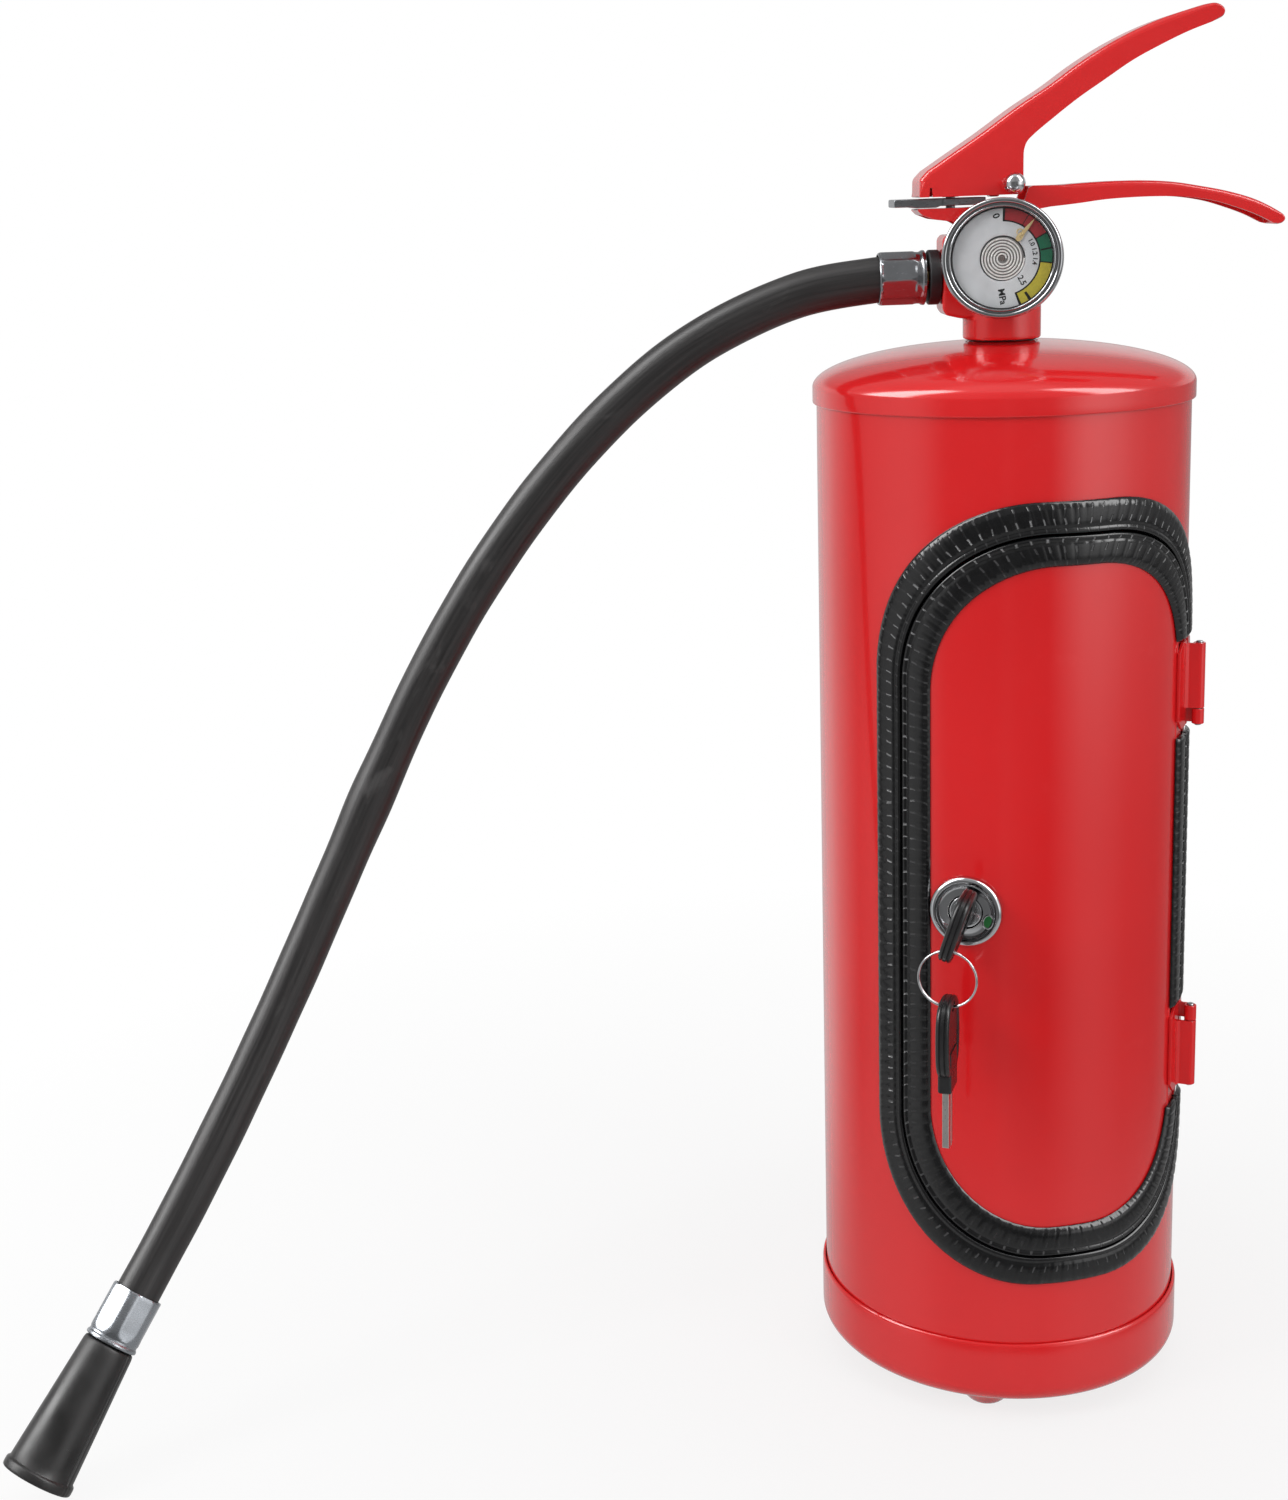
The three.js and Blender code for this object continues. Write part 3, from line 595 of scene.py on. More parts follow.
def outline_rows(offs, step=0.55, hinge_gap=None, hinge_low=None):
    """Path round the opening for several offsets at once. Returns (n, k, 2) of (degrees, z) and the path length.
    With hinge_gap and hinge_low it runs from that height above the upper hinge round to that height below the lower one."""
    offs = np.array(offs, float)
    c = SEAM["corner"] + 0.75 * offs
    l, r = LEFT - offs, RIGHT + offs
    b, t = SEAM["low"] - offs, SEAM["high"] + offs
    rows = []

    def arc(cx, cz, a0, a1, n, last=False):
        for i in range(n + (1 if last else 0)):
            a = a0 + (a1 - a0) * i / n
            rows.append(np.stack([cx + c * np.cos(a), cz + c * np.sin(a)], 1))

    def line(p, q, n):
        for i in range(n):
            rows.append(p + (q - p) * i / n)

    q = pi / 2
    n_arc = int(SEAM["corner"] * q / step)
    one = np.ones(len(offs))
    if hinge_gap is not None:
        start = np.arcsin((hinge_gap - (t - c)) / c)
        end = 2 * pi + np.arcsin((hinge_low - (b + c)) / c)
    else:
        start, end = 0 * one, 2 * pi * one
    arc(r - c, t - c, start, q * one, n_arc)
    line(np.stack([r - c, t], 1), np.stack([l + c, t], 1), int((r[0] - l[0] - 2 * c[0]) / step))
    arc(l + c, t - c, q * one, 2 * q * one, n_arc)
    line(np.stack([l, t - c], 1), np.stack([l, b + c], 1), int((t[0] - b[0] - 2 * c[0]) / step))
    arc(l + c, b + c, 2 * q * one, 3 * q * one, n_arc)
    line(np.stack([l + c, b], 1), np.stack([r - c, b], 1), int((r[0] - l[0] - 2 * c[0]) / step))
    arc(r - c, b + c, 3 * q * one, end, n_arc, last=hinge_gap is not None)
    if hinge_gap is None:
        line(np.stack([r, b + c], 1), np.stack([r, t - c], 1), int((t[0] - b[0] - 2 * c[0]) / step))
    R = np.array(rows)
    mid = R[:, len(offs) // 2]
    s = np.concatenate([[0], np.cumsum(np.linalg.norm(np.diff(mid, axis=0), axis=1))])
    R = R.copy()
    R[:, :, 0] /= PER_DEG
    return R, s


def on_body(phi, z, r):
    a = np.radians(phi)
    return np.stack([r * np.sin(a), -r * np.cos(a), z + 0 * r], -1)


def opening_wedge(off, step=1.0, radii=(40.0, 62.5, 66.5, 140.0)):
    R, _ = outline_rows([off], step)
    p = R[:, 0]
    rings = [on_body(p[:, 0], p[:, 1], np.full(len(p), r)) for r in radii]
    return loft(rings)


# ------------------------------------------------------------------ cylinder body and door
def crease(phi):
    """Small pressed line near the hinge edge of the door: height, then slope per degree."""
    g = np.exp(-(((phi - 58.2) / 0.42) ** 2))
    s = 1 / (1 + np.exp(-(phi - 59.0) / 0.35))
    h = 0.30 * g - 0.25 * s
    dh = 0.30 * g * (-2 * (phi - 58.2) / 0.42**2) - 0.25 * s * (1 - s) / 0.35
    return h, dh


def tube_wall(phis, z0, z1, height=None):
    """Ring of sheet, outer wall BODY_R, with extra height on the outer wall."""
    phis = np.array(phis)
    h = height(phis)[0] if height else 0 * phis
    rows = []
    for r, z in ((BODY_R + h, z0), (BODY_R + h, z1), (BODY_R - SHEET + h, z1), (BODY_R - SHEET + h, z0)):
        rows.append(on_body(phis, z, r))
    return loft(np.transpose(np.array(rows), (1, 0, 2)), close_u=True, caps=False)


def radial_normals(o, height=None):
    me = o.data
    me.polygons.foreach_set("use_smooth", [True] * len(me.polygons))
    nl = len(me.loops)
    vi = np.zeros(nl, np.int32)
    me.loops.foreach_get("vertex_index", vi)
    co = np.zeros(len(me.vertices) * 3)
    me.vertices.foreach_get("co", co)
    co = co.reshape(-1, 3)[vi]
    fn = np.zeros(len(me.polygons) * 3)
    me.polygons.foreach_get("normal", fn)
    fn = fn.reshape(-1, 3)
    tot = np.zeros(len(me.polygons), np.int32)
    me.polygons.foreach_get("loop_total", tot)
    fn = np.repeat(fn, tot, axis=0)
    rad = np.stack([co[:, 0], co[:, 1], 0 * co[:, 0]], 1)
    rad /= np.linalg.norm(rad, axis=1)[:, None]
    tan = np.stack([-rad[:, 1], rad[:, 0], 0 * rad[:, 0]], 1)
    if height is not None:
        phi = np.degrees(np.arctan2(co[:, 0], -co[:, 1]))
        slope = height(phi)[1] / (BODY_R * pi / 180)
        rad = rad - tan * slope[:, None]
        rad /= np.linalg.norm(rad, axis=1)[:, None]
    d = (fn * rad).sum(1)
    out = np.where((np.abs(d) > 0.75)[:, None], rad * np.sign(d)[:, None], fn)
    me.normals_split_custom_set(out.tolist())


ring_phis = list(np.arange(0, 360, 1.5))
body_geo = tube_wall(ring_phis, 8.0, 358.0)
body_o = link("cylinder_shell", new_mesh("cylinder_shell", *body_geo))
boolean(body_o, [opening_wedge(1.5)])
piece("cylinder_shell", body_o, M["body"], "root", "shell_body")
radial_normals(body_o)

door_phis = sorted(set(np.round(list(np.arange(-180, 180, 1.5)) + list(np.arange(56, 62, 0.15)), 3)))


def lock_frame():
    return np.array([0, 0, LOCK_Z]), tangent(LOCK_PHI), UP, radial(LOCK_PHI)


def turned(v, deg_):
    a = math.radians(deg_)
    v = np.asarray(v, float).copy()
    x = v[:, 0] * math.cos(a) - v[:, 1] * math.sin(a)
    y = v[:, 0] * math.sin(a) + v[:, 1] * math.cos(a)
    v[:, 0], v[:, 1] = x, y
    return v


door_geo = tube_wall(door_phis, 20.0, 350.0, crease)
door_o = link("door_sheet", new_mesh("door_sheet", *door_geo))
boolean(door_o, [opening_wedge(-1.5)], "INTERSECT")
hole_v, hole_f = lathe([(0, 40), (9.3, 40), (9.3, 80), (0, 80)], 64)
boolean(door_o, [(place(hole_v, *lock_frame()), hole_f)])
piece("door_sheet", door_o, M["body"], "door", "door_panel")
radial_normals(door_o, crease)

# ------------------------------------------------------------------ pressed caps
top = []
top += list(fillet([(65.35, 354.05), (66.4, 354.05), (66.4, 357.0)], [0.0, 0.55, 0], 5, closed=False))
for z in (358.0, 359.2):
    top.append((66.4, z))
for t in list(np.linspace(0, 20, 26)) + list(np.linspace(21.5, 79, 34)):
    a = math.radians(t)
    top.append((CAP_R * math.cos(a), 359.6 + 14.85 * math.sin(a)))
inner_top = []
for t in np.linspace(79, 0, 24):
    a = math.radians(t)
    inner_top.append((65.3 * math.cos(a), 359.6 + 13.65 * math.sin(a)))
top += inner_top
v, f = lathe(top, 240, closed=True)
piece("upper_cap", (v, f), M["body"], "root", "top_cap", angle=50)

# bottom cap: rounded base with three pressed feet
FOOT = [radial(p) * 49.0 for p in (-14, 106, 226)]


def foot_drop(x, y):
    drop = np.zeros_like(x)
    for c in FOOT:
        d = np.hypot(x - c[0], y - c[1])
        u = np.clip((12.2 - d) / (12.2 - 5.6), 0, 1)
        drop = np.maximum(drop, 6.5 * u * u * (3 - 2 * u))
    return drop


rows = []
radii = list(np.linspace(0.02, 58.4, 84)) + [CAP_R - 7 + 7 * math.sin(a) for a in np.linspace(0, pi / 2, 13)]
zs = [0.0] * 84 + [6.5 - 6.5 * math.cos(a) for a in np.linspace(0, pi / 2, 13)]
seg = 240
ang = np.arange(seg) * 2 * pi / seg
for r, z in zip(radii, zs):
    x, y = r * np.cos(ang), r * np.sin(ang)
    rows.append(np.stack([x, y, z - foot_drop(x, y)], 1))
for z in (12.0, 18.0, 22.6, 23.4, 23.85):
    rr = CAP_R - (0.0 if z < 23 else (0.12 if z < 23.6 else 0.4))
    rows.append(np.stack([rr * np.cos(ang), rr * np.sin(ang), 0 * ang + z], 1))
rows.append(np.stack([65.75 * np.cos(ang), 65.75 * np.sin(ang), 0 * ang + 24.0], 1))
rows.append(np.stack([65.35 * np.cos(ang), 65.35 * np.sin(ang), 0 * ang + 23.9], 1))
for a in np.linspace(pi / 2, 0, 8):
    r, z = CAP_R - 7 + 5.9 * math.sin(a), 6.5 - 5.3 * math.cos(a)
    rows.append(np.stack([r * np.cos(ang), r * np.sin(ang), 0 * ang + z], 1))
for r in np.linspace(58.4, 0.02, 70):
    x, y = r * np.cos(ang), r * np.sin(ang)
    rows.append(np.stack([x, y, 1.2 - foot_drop(x, y)], 1))
v, f = loft(rows)
piece("lower_cap", (v, f), M["body"], "root", "bottom_cap", angle=50)

neck = fillet([(10.3, 365.0), (12.2, 365.0), (12.2, 374.3), (10.3, 374.3)], [0.2, 0.2, 0.9, 0.2], 4)
piece("neck_boss", lathe(neck, 96, closed=True), M["valve"], "root", "neck_ring")
gasket = fillet([(10.4, 374.6), (11.9, 374.6), (11.9, 375.3), (10.4, 375.3)], 0.3, 4)
piece("neck_seal", lathe(gasket, 96, closed=True), M["seal"], "root", "neck_gasket")


# ------------------------------------------------------------------ door seals: rounded U section swept round the opening
def trim_profile(sign):
    """(offset, radius, how far the cross ribs press in) for a U trim; sign +1 is the body side."""
    far = 11.0 if sign > 0 else 10.6
    pts = [
        (0.35, 61.9, 0), (0.35, 66.1, 0), (0.50, 66.62, 0), (0.95, 66.93, 0), (1.55, 66.90, 0), (1.95, 66.62, 0),
        (2.20, 66.50, 0), (2.50, 66.58, 0.3), (3.00, 66.84, 0.8), (3.60, 66.96, 1.0), (4.6, 67.0, 0.7), (5.8, 67.0, 0.5), (7.0, 67.0, 0.6),
        (8.0, 66.97, 0.9), (8.8, 66.86, 1.2), (9.5, 66.60, 1.3), (far - 0.75, 66.30, 1.0), (far - 0.25, 65.85, 0.5), (far, 65.40, 0), (far - 0.35, 65.3, 0),
        (5.0, 65.3, 0), (1.3, 65.3, 0), (1.2, 63.5, 0), (5.0, 63.5, 0), (6.7, 63.5, 0), (7.0, 63.2, 0), (7.0, 62.3, 0), (6.6, 61.9, 0), (3.0, 61.9, 0),
    ]
    return np.array([(sign * o, r, k) for o, r, k in pts])


def trim(name, sign, body, nodes, z_top=271.6, z_low=99.8, straight=None):
    prof = trim_profile(sign)
    if straight is None:
        R, s = outline_rows(prof[:, 0], 0.5, z_top, z_low)
    else:
        z0, z1 = straight
        n = int((z1 - z0) / 0.5)
        z = np.linspace(z0, z1, n + 1)
        R = np.zeros((n + 1, len(prof), 2))
        R[:, :, 0] = (SEAM["right"] * PER_DEG + prof[:, 0])[None] / PER_DEG
        R[:, :, 1] = z[:, None]
        s = z - z0
    pitch = 4.3
    ph = (s[:, None] / pitch + 0.15 * np.sin(s[:, None] / 37.0)) % 1.0 - 0.5
    rib = np.exp(-((ph * pitch / 0.34) ** 2))
    wob = 0.5 + 0.5 * np.sin(s[:, None] / 9.7 + prof[None, :, 0]) * np.sin(s[:, None] / 23.0)
    rad = prof[None, :, 1] - 0.17 * rib * prof[None, :, 2] * (0.7 + 0.3 * wob)
    rad = rad - 0.05 * (0.5 + 0.5 * np.sin(s[:, None] * 2 * pi / pitch)) * (prof[None, :, 2] > 0)
    # the cut ends are slightly rounded
    end = np.minimum(s, s[-1] - s)[:, None]
    soft = np.clip(1 - end / 1.1, 0, 1) ** 2
    mid = 64.45
    rad = np.where(prof[None, :, 1] > 65.9, rad - soft * 0.55, rad)
    P = on_body(R[:, :, 0], R[:, :, 1], rad)
    v, f = loft(P)
    o = link(name, new_mesh(name, v, f, fix=False))
    bm = bmesh.new()
    bm.from_mesh(o.data)
    bmesh.ops.recalc_face_normals(bm, faces=bm.faces)
    bm.to_mesh(o.data)
    bm.free()
    vv = np.concatenate([[0], np.cumsum(np.linalg.norm(np.diff(prof[:, :2], axis=0), axis=1))])
    uv = np.stack(np.broadcast_arrays(s[:, None], vv[None]), -1).reshape(-1, 2)
    set_uv(o, uv)
    piece(name, o, M["trim" if sign > 0 else "trim_door"], body, nodes, angle=60)
    return o


trim("body_seal", 1, "root", "body_trim")
trim("door_seal", -1, "door", "door_trim")
trim("body_seal_hinge_side", 1, "root", "body_trim_hinge_side", straight=(137.3, 236.7))
trim("door_seal_hinge_side", -1, "door", "door_trim_hinge_side", straight=(137.3, 236.7))

# ------------------------------------------------------------------ hinges: rolled knuckle, leaf with weld dots
pin_at = radial(HINGE_PHI) * HINGE_R


def hinge_frame(side):
    """x away from the knuckle towards that side, y outward, z up. side -1 is the door."""
    return np.array([pin_at[0], pin_at[1], 0.0]), tangent(HINGE_PHI) * side, radial(HINGE_PHI), UP


def hinge_leaf(name, side, z0, z1, k0, k1, body, node):
    """The sheet: rolled round the pin over k0..k1, then a cranked web down to the leaf on the cylinder."""
    o_, x_, y_, z_ = hinge_frame(side)
    # barrel section: a closed ring round the pin that runs into the web; the open-roll points in outer and inner are
    # not used
    outer, inner = [], []
    for a in np.linspace(-pi / 2 - 0.15, 1.5 * pi - 0.35, 40)[::-1]:
        outer.append((2.1 * math.cos(a), 2.1 * math.sin(a)))
        inner.append((1.3 * math.cos(a), 1.3 * math.sin(a)))
    ring_v, ring_f = lathe([(1.3, k0 + 0.12), (1.42, k0), (1.95, k0), (2.1, k0 + 0.15), (2.1, k1 - 0.15), (1.95, k1), (1.42, k1), (1.3, k1 - 0.12)], 56, closed=True)
    barrel = link("work", new_mesh("work", place(ring_v, o_, x_, y_, z_), ring_f))
    # web from the barrel to the leaf, rounded into it
    web2 = fillet([(1.15, 0.6), (2.08, 0.0), (2.08, -3.1), (3.2, -4.1), (3.2, -4.75), (1.0, -4.75), (1.15, -3.4)], [0, 0.2, 0.9, 0, 0, 0, 0.5], 5)
    rings = []
    for z in np.linspace(k0 + 0.05, k1 - 0.05, 2):
        rings.append([o_ + x_ * p[0] + y_ * p[1] + z_ * z for p in web2])
    web = loft(rings)
    # leaf: chamfered plate that follows the cylinder
    c = 3.4
    flat = [(1.0, z0 - 1), (10.2 - c, z0 - 1), (10.2, z0 - 1 + c), (10.2, z1 + 1 - c), (10.2 - c, z1 + 1), (1.0, z1 + 1)]
    flat = fillet(flat, [0.2, 0.7, 0.7, 0.7, 0.7, 0.2], 3)
    n = len(flat)
    cols = []
    for inset, r in ((0.0, 65.32), (0.0, 66.0), (0.08, 66.2), (0.3, 66.3)):
        cx = np.array([5.6, (z0 + z1) / 2])
        half = np.array([4.6, (z1 - z0) / 2 + 1])
        q = np.array([cx + (p - cx) * (1 - inset / half) for p in flat])
        a = math.radians(HINGE_PHI) + side * q[:, 0] / 65.8
        cols.append(np.stack([r * np.sin(a), -r * np.cos(a), q[:, 1]], 1))
    leaf_v, leaf_f = loft(cols)
    boolean(barrel, [web, (leaf_v, leaf_f)], "UNION")
    # weld dots pressed into the leaf
    dots = []
    for k in (0.27, 0.73):
        z = z0 + (z1 - z0) * k
        a = math.degrees(side * 5.9 / 65.8) + HINGE_PHI
        dot_v, dot_f = lathe([(0, -0.35), (0.7, -0.25), (1.15, 0.05), (1.3, 0.4), (0, 0.4)], 28)
        dots.append((place(dot_v, radial(a) * 66.3 + UP * z, tangent(a), UP, radial(a)), dot_f))
    boolean(barrel, dots)
    bore_v, bore_f = lathe([(0, z0 - 3), (1.3, z0 - 3), (1.3, z1 + 3), (0, z1 + 3)], 40)
    boolean(barrel, [(place(bore_v, o_, x_, y_, z_), bore_f)])
    bevel(barrel, 0.14, 2, 50)
    piece(name, barrel, M["body"], body, node, angle=35, weight=True)


for label, (z0, z1), body_low in (("upper", HINGE_Z[0], True), ("lower", HINGE_Z[1], False)):
    split = z0 + 5.6 if body_low else z1 - 5.6
    b = (z0, split - 0.15) if body_low else (split + 0.15, z1)
    d = (split + 0.15, z1) if body_low else (z0, split - 0.15)
    hinge_leaf(label + "_hinge_leaf_body", 1, z0, z1, *b, "root", label + "_hinge_body_leaf")
    hinge_leaf(label + "_hinge_leaf_door", -1, z0, z1, *d, "door", label + "_hinge_door_leaf")
    prof = fillet([(0, z0 - 0.6), (1.2, z0 - 0.6), (1.2, z1 + 0.6), (0, z1 + 0.6)], [0, 0.35, 0.35, 0], 4, closed=False)
    v, f = lathe(prof, 40)
    piece(label + "_hinge_rod", (v, f), M["steel"], "root", label + "_hinge_pin", at=(np.array([pin_at[0], pin_at[1], 0]), tangent(HINGE_PHI), radial(HINGE_PHI), UP))

# ------------------------------------------------------------------ lock
LF = lock_frame()
flange = [(5.95, 67.35), (6.1, 67.5), (7.4, 67.42), (8.2, 67.34), (9.0, 67.40), (9.6, 67.58)]
flange += [(10.9 + 1.4 * math.sin(a), 66.5 + 1.4 * math.cos(a)) for a in np.linspace(-0.9, pi / 2, 14)]
flange += [(12.3, 65.45), (12.15, 65.3), (8.72, 65.3), (8.72, 48.3), (8.4, 48.0), (6.2, 48.0), (5.95, 48.25)]
v, f = lathe(flange, 128, closed=True)
lock_o = link("lock_case", new_mesh("lock_case", place(v, *LF), f))
cut = []
for s in (-1, 1):
    q = [(-12, 46), (12, 46), (12, 65.0), (-12, 65.0)]
    rings = [[np.array([s * x, y, z]) for y, z in q] for x in (7.6, 12.0)]
    cv, cf = loft(rings)
    cut.append((place(cv, *LF), cf))
boolean(lock_o, cut)
piece("lock_case", lock_o, M["chrome"], "door", "lock_body", angle=40, weight=True)

# small generic window beside the plug: an oval recess rim with a green fill
oval = []
for k, (o1, h) in enumerate(((0.55, 67.30), (0.5, 67.62), (0.2, 67.72), (0.0, 67.62), (0.0, 67.38))):
    a = np.arange(40) * 2 * pi / 40
    oval.append(np.stack([(1.45 + o1) * np.cos(a), (2.2 + o1) * np.sin(a), 0 * a + h], 1))
v, f = loft(oval, caps=False, close_u=True)
v = turned(v, -14) + np.array([7.75, -2.8, 0])
piece("lock_window_rim", (v, f), M["chrome"], "door", at=LF)
fill = []
for s_, h in ((1.0, 67.32), (1.0, 67.46), (0.8, 67.5), (0.3, 67.52)):
    a = np.arange(40) * 2 * pi / 40
    fill.append(np.stack([1.4 * s_ * np.cos(a), 2.15 * s_ * np.sin(a), 0 * a + h], 1))
v, f = loft(fill)
v = turned(v, -14) + np.array([7.75, -2.8, 0])
piece("lock_window", (v, f), M["green_mark"], "door", at=LF)

# plug with a keyway
plug = fillet([(0, 46.4), (5.6, 46.4), (5.6, 67.2), (0, 67.2)], [0, 0.2, 0.45, 0], 4, closed=False)
v, f = lathe(plug, 96)
plug_o = link("plug", new_mesh("plug", place(v, *LF), f))
way = fillet([(-1.3, -4.1), (1.3, -4.1), (1.3, 4.1), (-1.3, 4.1)], 0.35, 3)
rings = [np.column_stack([way, np.full(len(way), z)]) for z in (48.6, 70.0)]
cv, cf = loft(rings)
groove_v, groove_f = lathe([(4.35, 66.95), (4.6, 66.95), (4.6, 68.0), (4.35, 68.0)], 96, closed=True)
boolean(plug_o, [(place(turned(cv, KEY_TILT), *LF), cf), (place(groove_v, *LF), groove_f)])
screw_v, screw_f = lathe([(0, 44), (1.35, 44), (1.35, 47.9), (0, 47.9)], 32)
boolean(plug_o, [(place(screw_v, *LF), screw_f)])
bevel(plug_o, 0.1, 2, 50)
piece("key_cylinder", plug_o, M["chrome"], "lock_cylinder", "lock_plug", weight=True)

# hex nut and cam behind the door
hexa = [(12.4 * math.cos(k * pi / 3), 12.4 * math.sin(k * pi / 3)) for k in range(6)]
hexa = fillet(hexa, 0.8, 4)
rings = [np.column_stack([hexa * s_, np.full(len(hexa), z)]) for s_, z in ((0.955, 59.3), (1.0, 59.75), (1.0, 61.35), (0.955, 61.8))]
v, f = loft(rings)
nut_o = link("nut", new_mesh("nut", place(v, *LF), f))
bore = lathe([(0, 50), (9.1, 50), (9.1, 70), (0, 70)], 64)
boolean(nut_o, [(place(bore[0], *LF), bore[1])])
bevel(nut_o, 0.12, 2, 50)
piece("hex_nut", nut_o, M["zinc"], "door", "lock_nut", weight=True)

cam_side = [(-26, 52), (-26, 54), (-13.2, 54), (-9.6, 46.1), (6, 46.1), (6, 44.1), (-8.8, 44.1), (-12.4, 52)]
cam2 = fillet(cam_side, [0.3, 0.3, 1.6, 2.4, 0.3, 0.3, 1.2, 2.6], 5)
rings = [np.array([(w, p[0], p[1]) for p in cam2]) for w in (-5, 5)]
v, f = loft(rings)
cam_o = link("cam", new_mesh("cam", place(v, *LF), f))
hole = lathe([(0, 40), (1.8, 40), (1.8, 50), (0, 50)], 32)
corner_cut = []
for s in (-1, 1):
    q = fillet([(s * 5.4, -26.4), (s * 5.4, -23.0), (s * 2.6, -26.4)], 0, 1)
    cr = [np.column_stack([q, np.full(len(q), z)]) for z in (50, 56)]
    cv, cf = loft(cr)
    corner_cut.append((place(cv, *LF), cf))
boolean(cam_o, [(place(hole[0], *LF), hole[1])] + corner_cut)
bevel(cam_o, 0.22, 2, 50)
piece("locking_cam", cam_o, M["zinc"], "lock_cylinder", "lock_cam", weight=True)
screw = fillet([(0, 42.6), (2.7, 42.6), (3.2, 43.2), (3.2, 43.8), (1.05, 43.8), (1.05, 47.5), (0, 47.5)], [0, 0.5, 0.3, 0.1, 0, 0.1, 0], 3, closed=False)
v, f = lathe(screw, 48)
scr = link("scr", new_mesh("scr", place(v, *LF), f))
cross = []
for a, b in ((0.35, 1.7), (1.7, 0.35)):
    q = [(-a, -b), (a, -b), (a, b), (-a, b)]
    cv, cf = loft([np.column_stack([q, np.full(4, z)]) for z in (42.0, 43.35)])
    cross.append((place(cv, *LF), cf))
boolean(scr, cross)
piece("cam_fixing_screw", scr, M["steel"], "lock_cylinder", "cam_screw", weight=True)


# ------------------------------------------------------------------ keys
def key_bow(a, b, cz, cy, half, hole_z, hole_y, hole_r, neck=None):
    """Moulded bow: rounded rim with two grooves, sunk side panels. Returns verts and faces, local x thickness, y
    height, z out.
    """
    n = 96
    t = np.arange(n) * 2 * pi / n

    def ring(inset, w):
        c, s = np.cos(t), np.sin(t)
        return np.stack([0 * t + w, cy + (b - inset) * np.sign(s) * np.abs(s) ** 0.7, cz + (a - inset) * np.sign(c) * np.abs(c) ** 0.7], 1)

    h = half
    steps = [(3.4, h - 0.45), (2.9, h - 0.42), (2.5, h - 0.08), (2.3, h), (1.3, h), (0.95, h - 0.04), (0.5, h - 0.22), (0.18, h - 0.55), (0.03, h - 0.95), (0.0, h - 1.15),
             (0.22, h - 1.3), (0.3, h - 1.45), (0.22, h - 1.6), (0.0, h - 1.75)]
    full = steps + [(i, -w) for i, w in steps[::-1]]
    return loft([ring(i, w) for i, w in full])


def key_blade(length0, length1, half_w, cuts, seed):
    """Flat blade along +z from length0 to length1, milled grooves on both faces, cuts on one edge; x thickness, y width."""
    r = np.random.default_rng(seed)
    zs = np.linspace(length0, length1, 120)
    depth = np.zeros_like(zs)
    for c, d in cuts:
        u = np.clip(1 - np.abs(zs - c) / 1.25, 0, 1)
        depth = np.maximum(depth, d * np.minimum(1, u * 2.2))
    rings = []
    for z, dep in zip(zs, depth):
        tip = min(1.0, 0.35 + (z - length0) / 1.6)
        w = half_w * (tip if z - length0 < 1.2 else 1.0)
        x = 1.1
        top_, low = w - dep, -w
        sec = [(-x + 0.15, low), (x - 0.15, low), (x, low + 0.15), (x, -1.3), (x - 0.35, -1.1), (x - 0.35, -0.3), (x, -0.1), (x, top_ - 0.15), (x - 0.15, top_),
               (-x + 0.15, top_), (-x, top_ - 0.15), (-x, 1.2), (-x + 0.35, 1.0), (-x + 0.35, 0.1), (-x, -0.1), (-x, low + 0.15)]
        sec = [(px, min(max(py, low), top_)) for px, py in sec]
        rings.append([(px, py, z) for px, py in sec])
    return loft(rings)


KH = dict(d=87.0, v=-7.6, r=2.3)
bow = key_bow(11.5, 12.2, 81.5, 0.0, 2.3, KH["d"], KH["v"], KH["r"])
shoulder2 = fillet([(-2.3, -5.5), (2.3, -5.5), (2.3, 5.5), (-2.3, 5.5)], 0.8, 4)
sh_rings = [np.column_stack([shoulder2 * s_, np.full(len(shoulder2), z)]) for s_, z in ((0.93, 68.4), (1.0, 68.8), (1.0, 74.5))]
shoulder = loft(sh_rings)
key_o = link("k", new_mesh("k", place(turned(bow[0], KEY_TILT), *LF), bow[1]))
boolean(key_o, [(place(turned(shoulder[0], KEY_TILT), *LF), shoulder[1])], "UNION")


def cross_hole(cx, cy, cz, r, half):
    prof = fillet([(0, -9), (r, -9), (r, 9), (0, 9)], 0, 1, closed=False)
    hv, hf = lathe(prof, 40)
    return np.stack([hv[:, 2] + cx, hv[:, 1] + cy, hv[:, 0] + cz], 1), hf


hv, hf = cross_hole(0, KH["v"], KH["d"], KH["r"], 3)
boolean(key_o, [(place(turned(hv, KEY_TILT), *LF), hf)])
bevel(key_o, 0.16, 2, 55)
piece("key_bow", key_o, M["plastic"], "key_in_lock", "key", angle=40, weight=True)
bl = key_blade(49.4, 69.5, 3.7, [(52.5, 1.2), (55.2, 0.7), (57.9, 1.5), (60.6, 0.9), (63.3, 1.3)], 3)
v = place(turned(bl[0], KEY_TILT), *LF)
piece("key_blade", (v, bl[1]), M["key_steel"], "key_in_lock", angle=30)

tilt = math.radians(KEY_TILT)
hole_x, hole_y = -KH["v"] * math.sin(tilt), KH["v"] * math.cos(tilt)
RING_R = 9.8


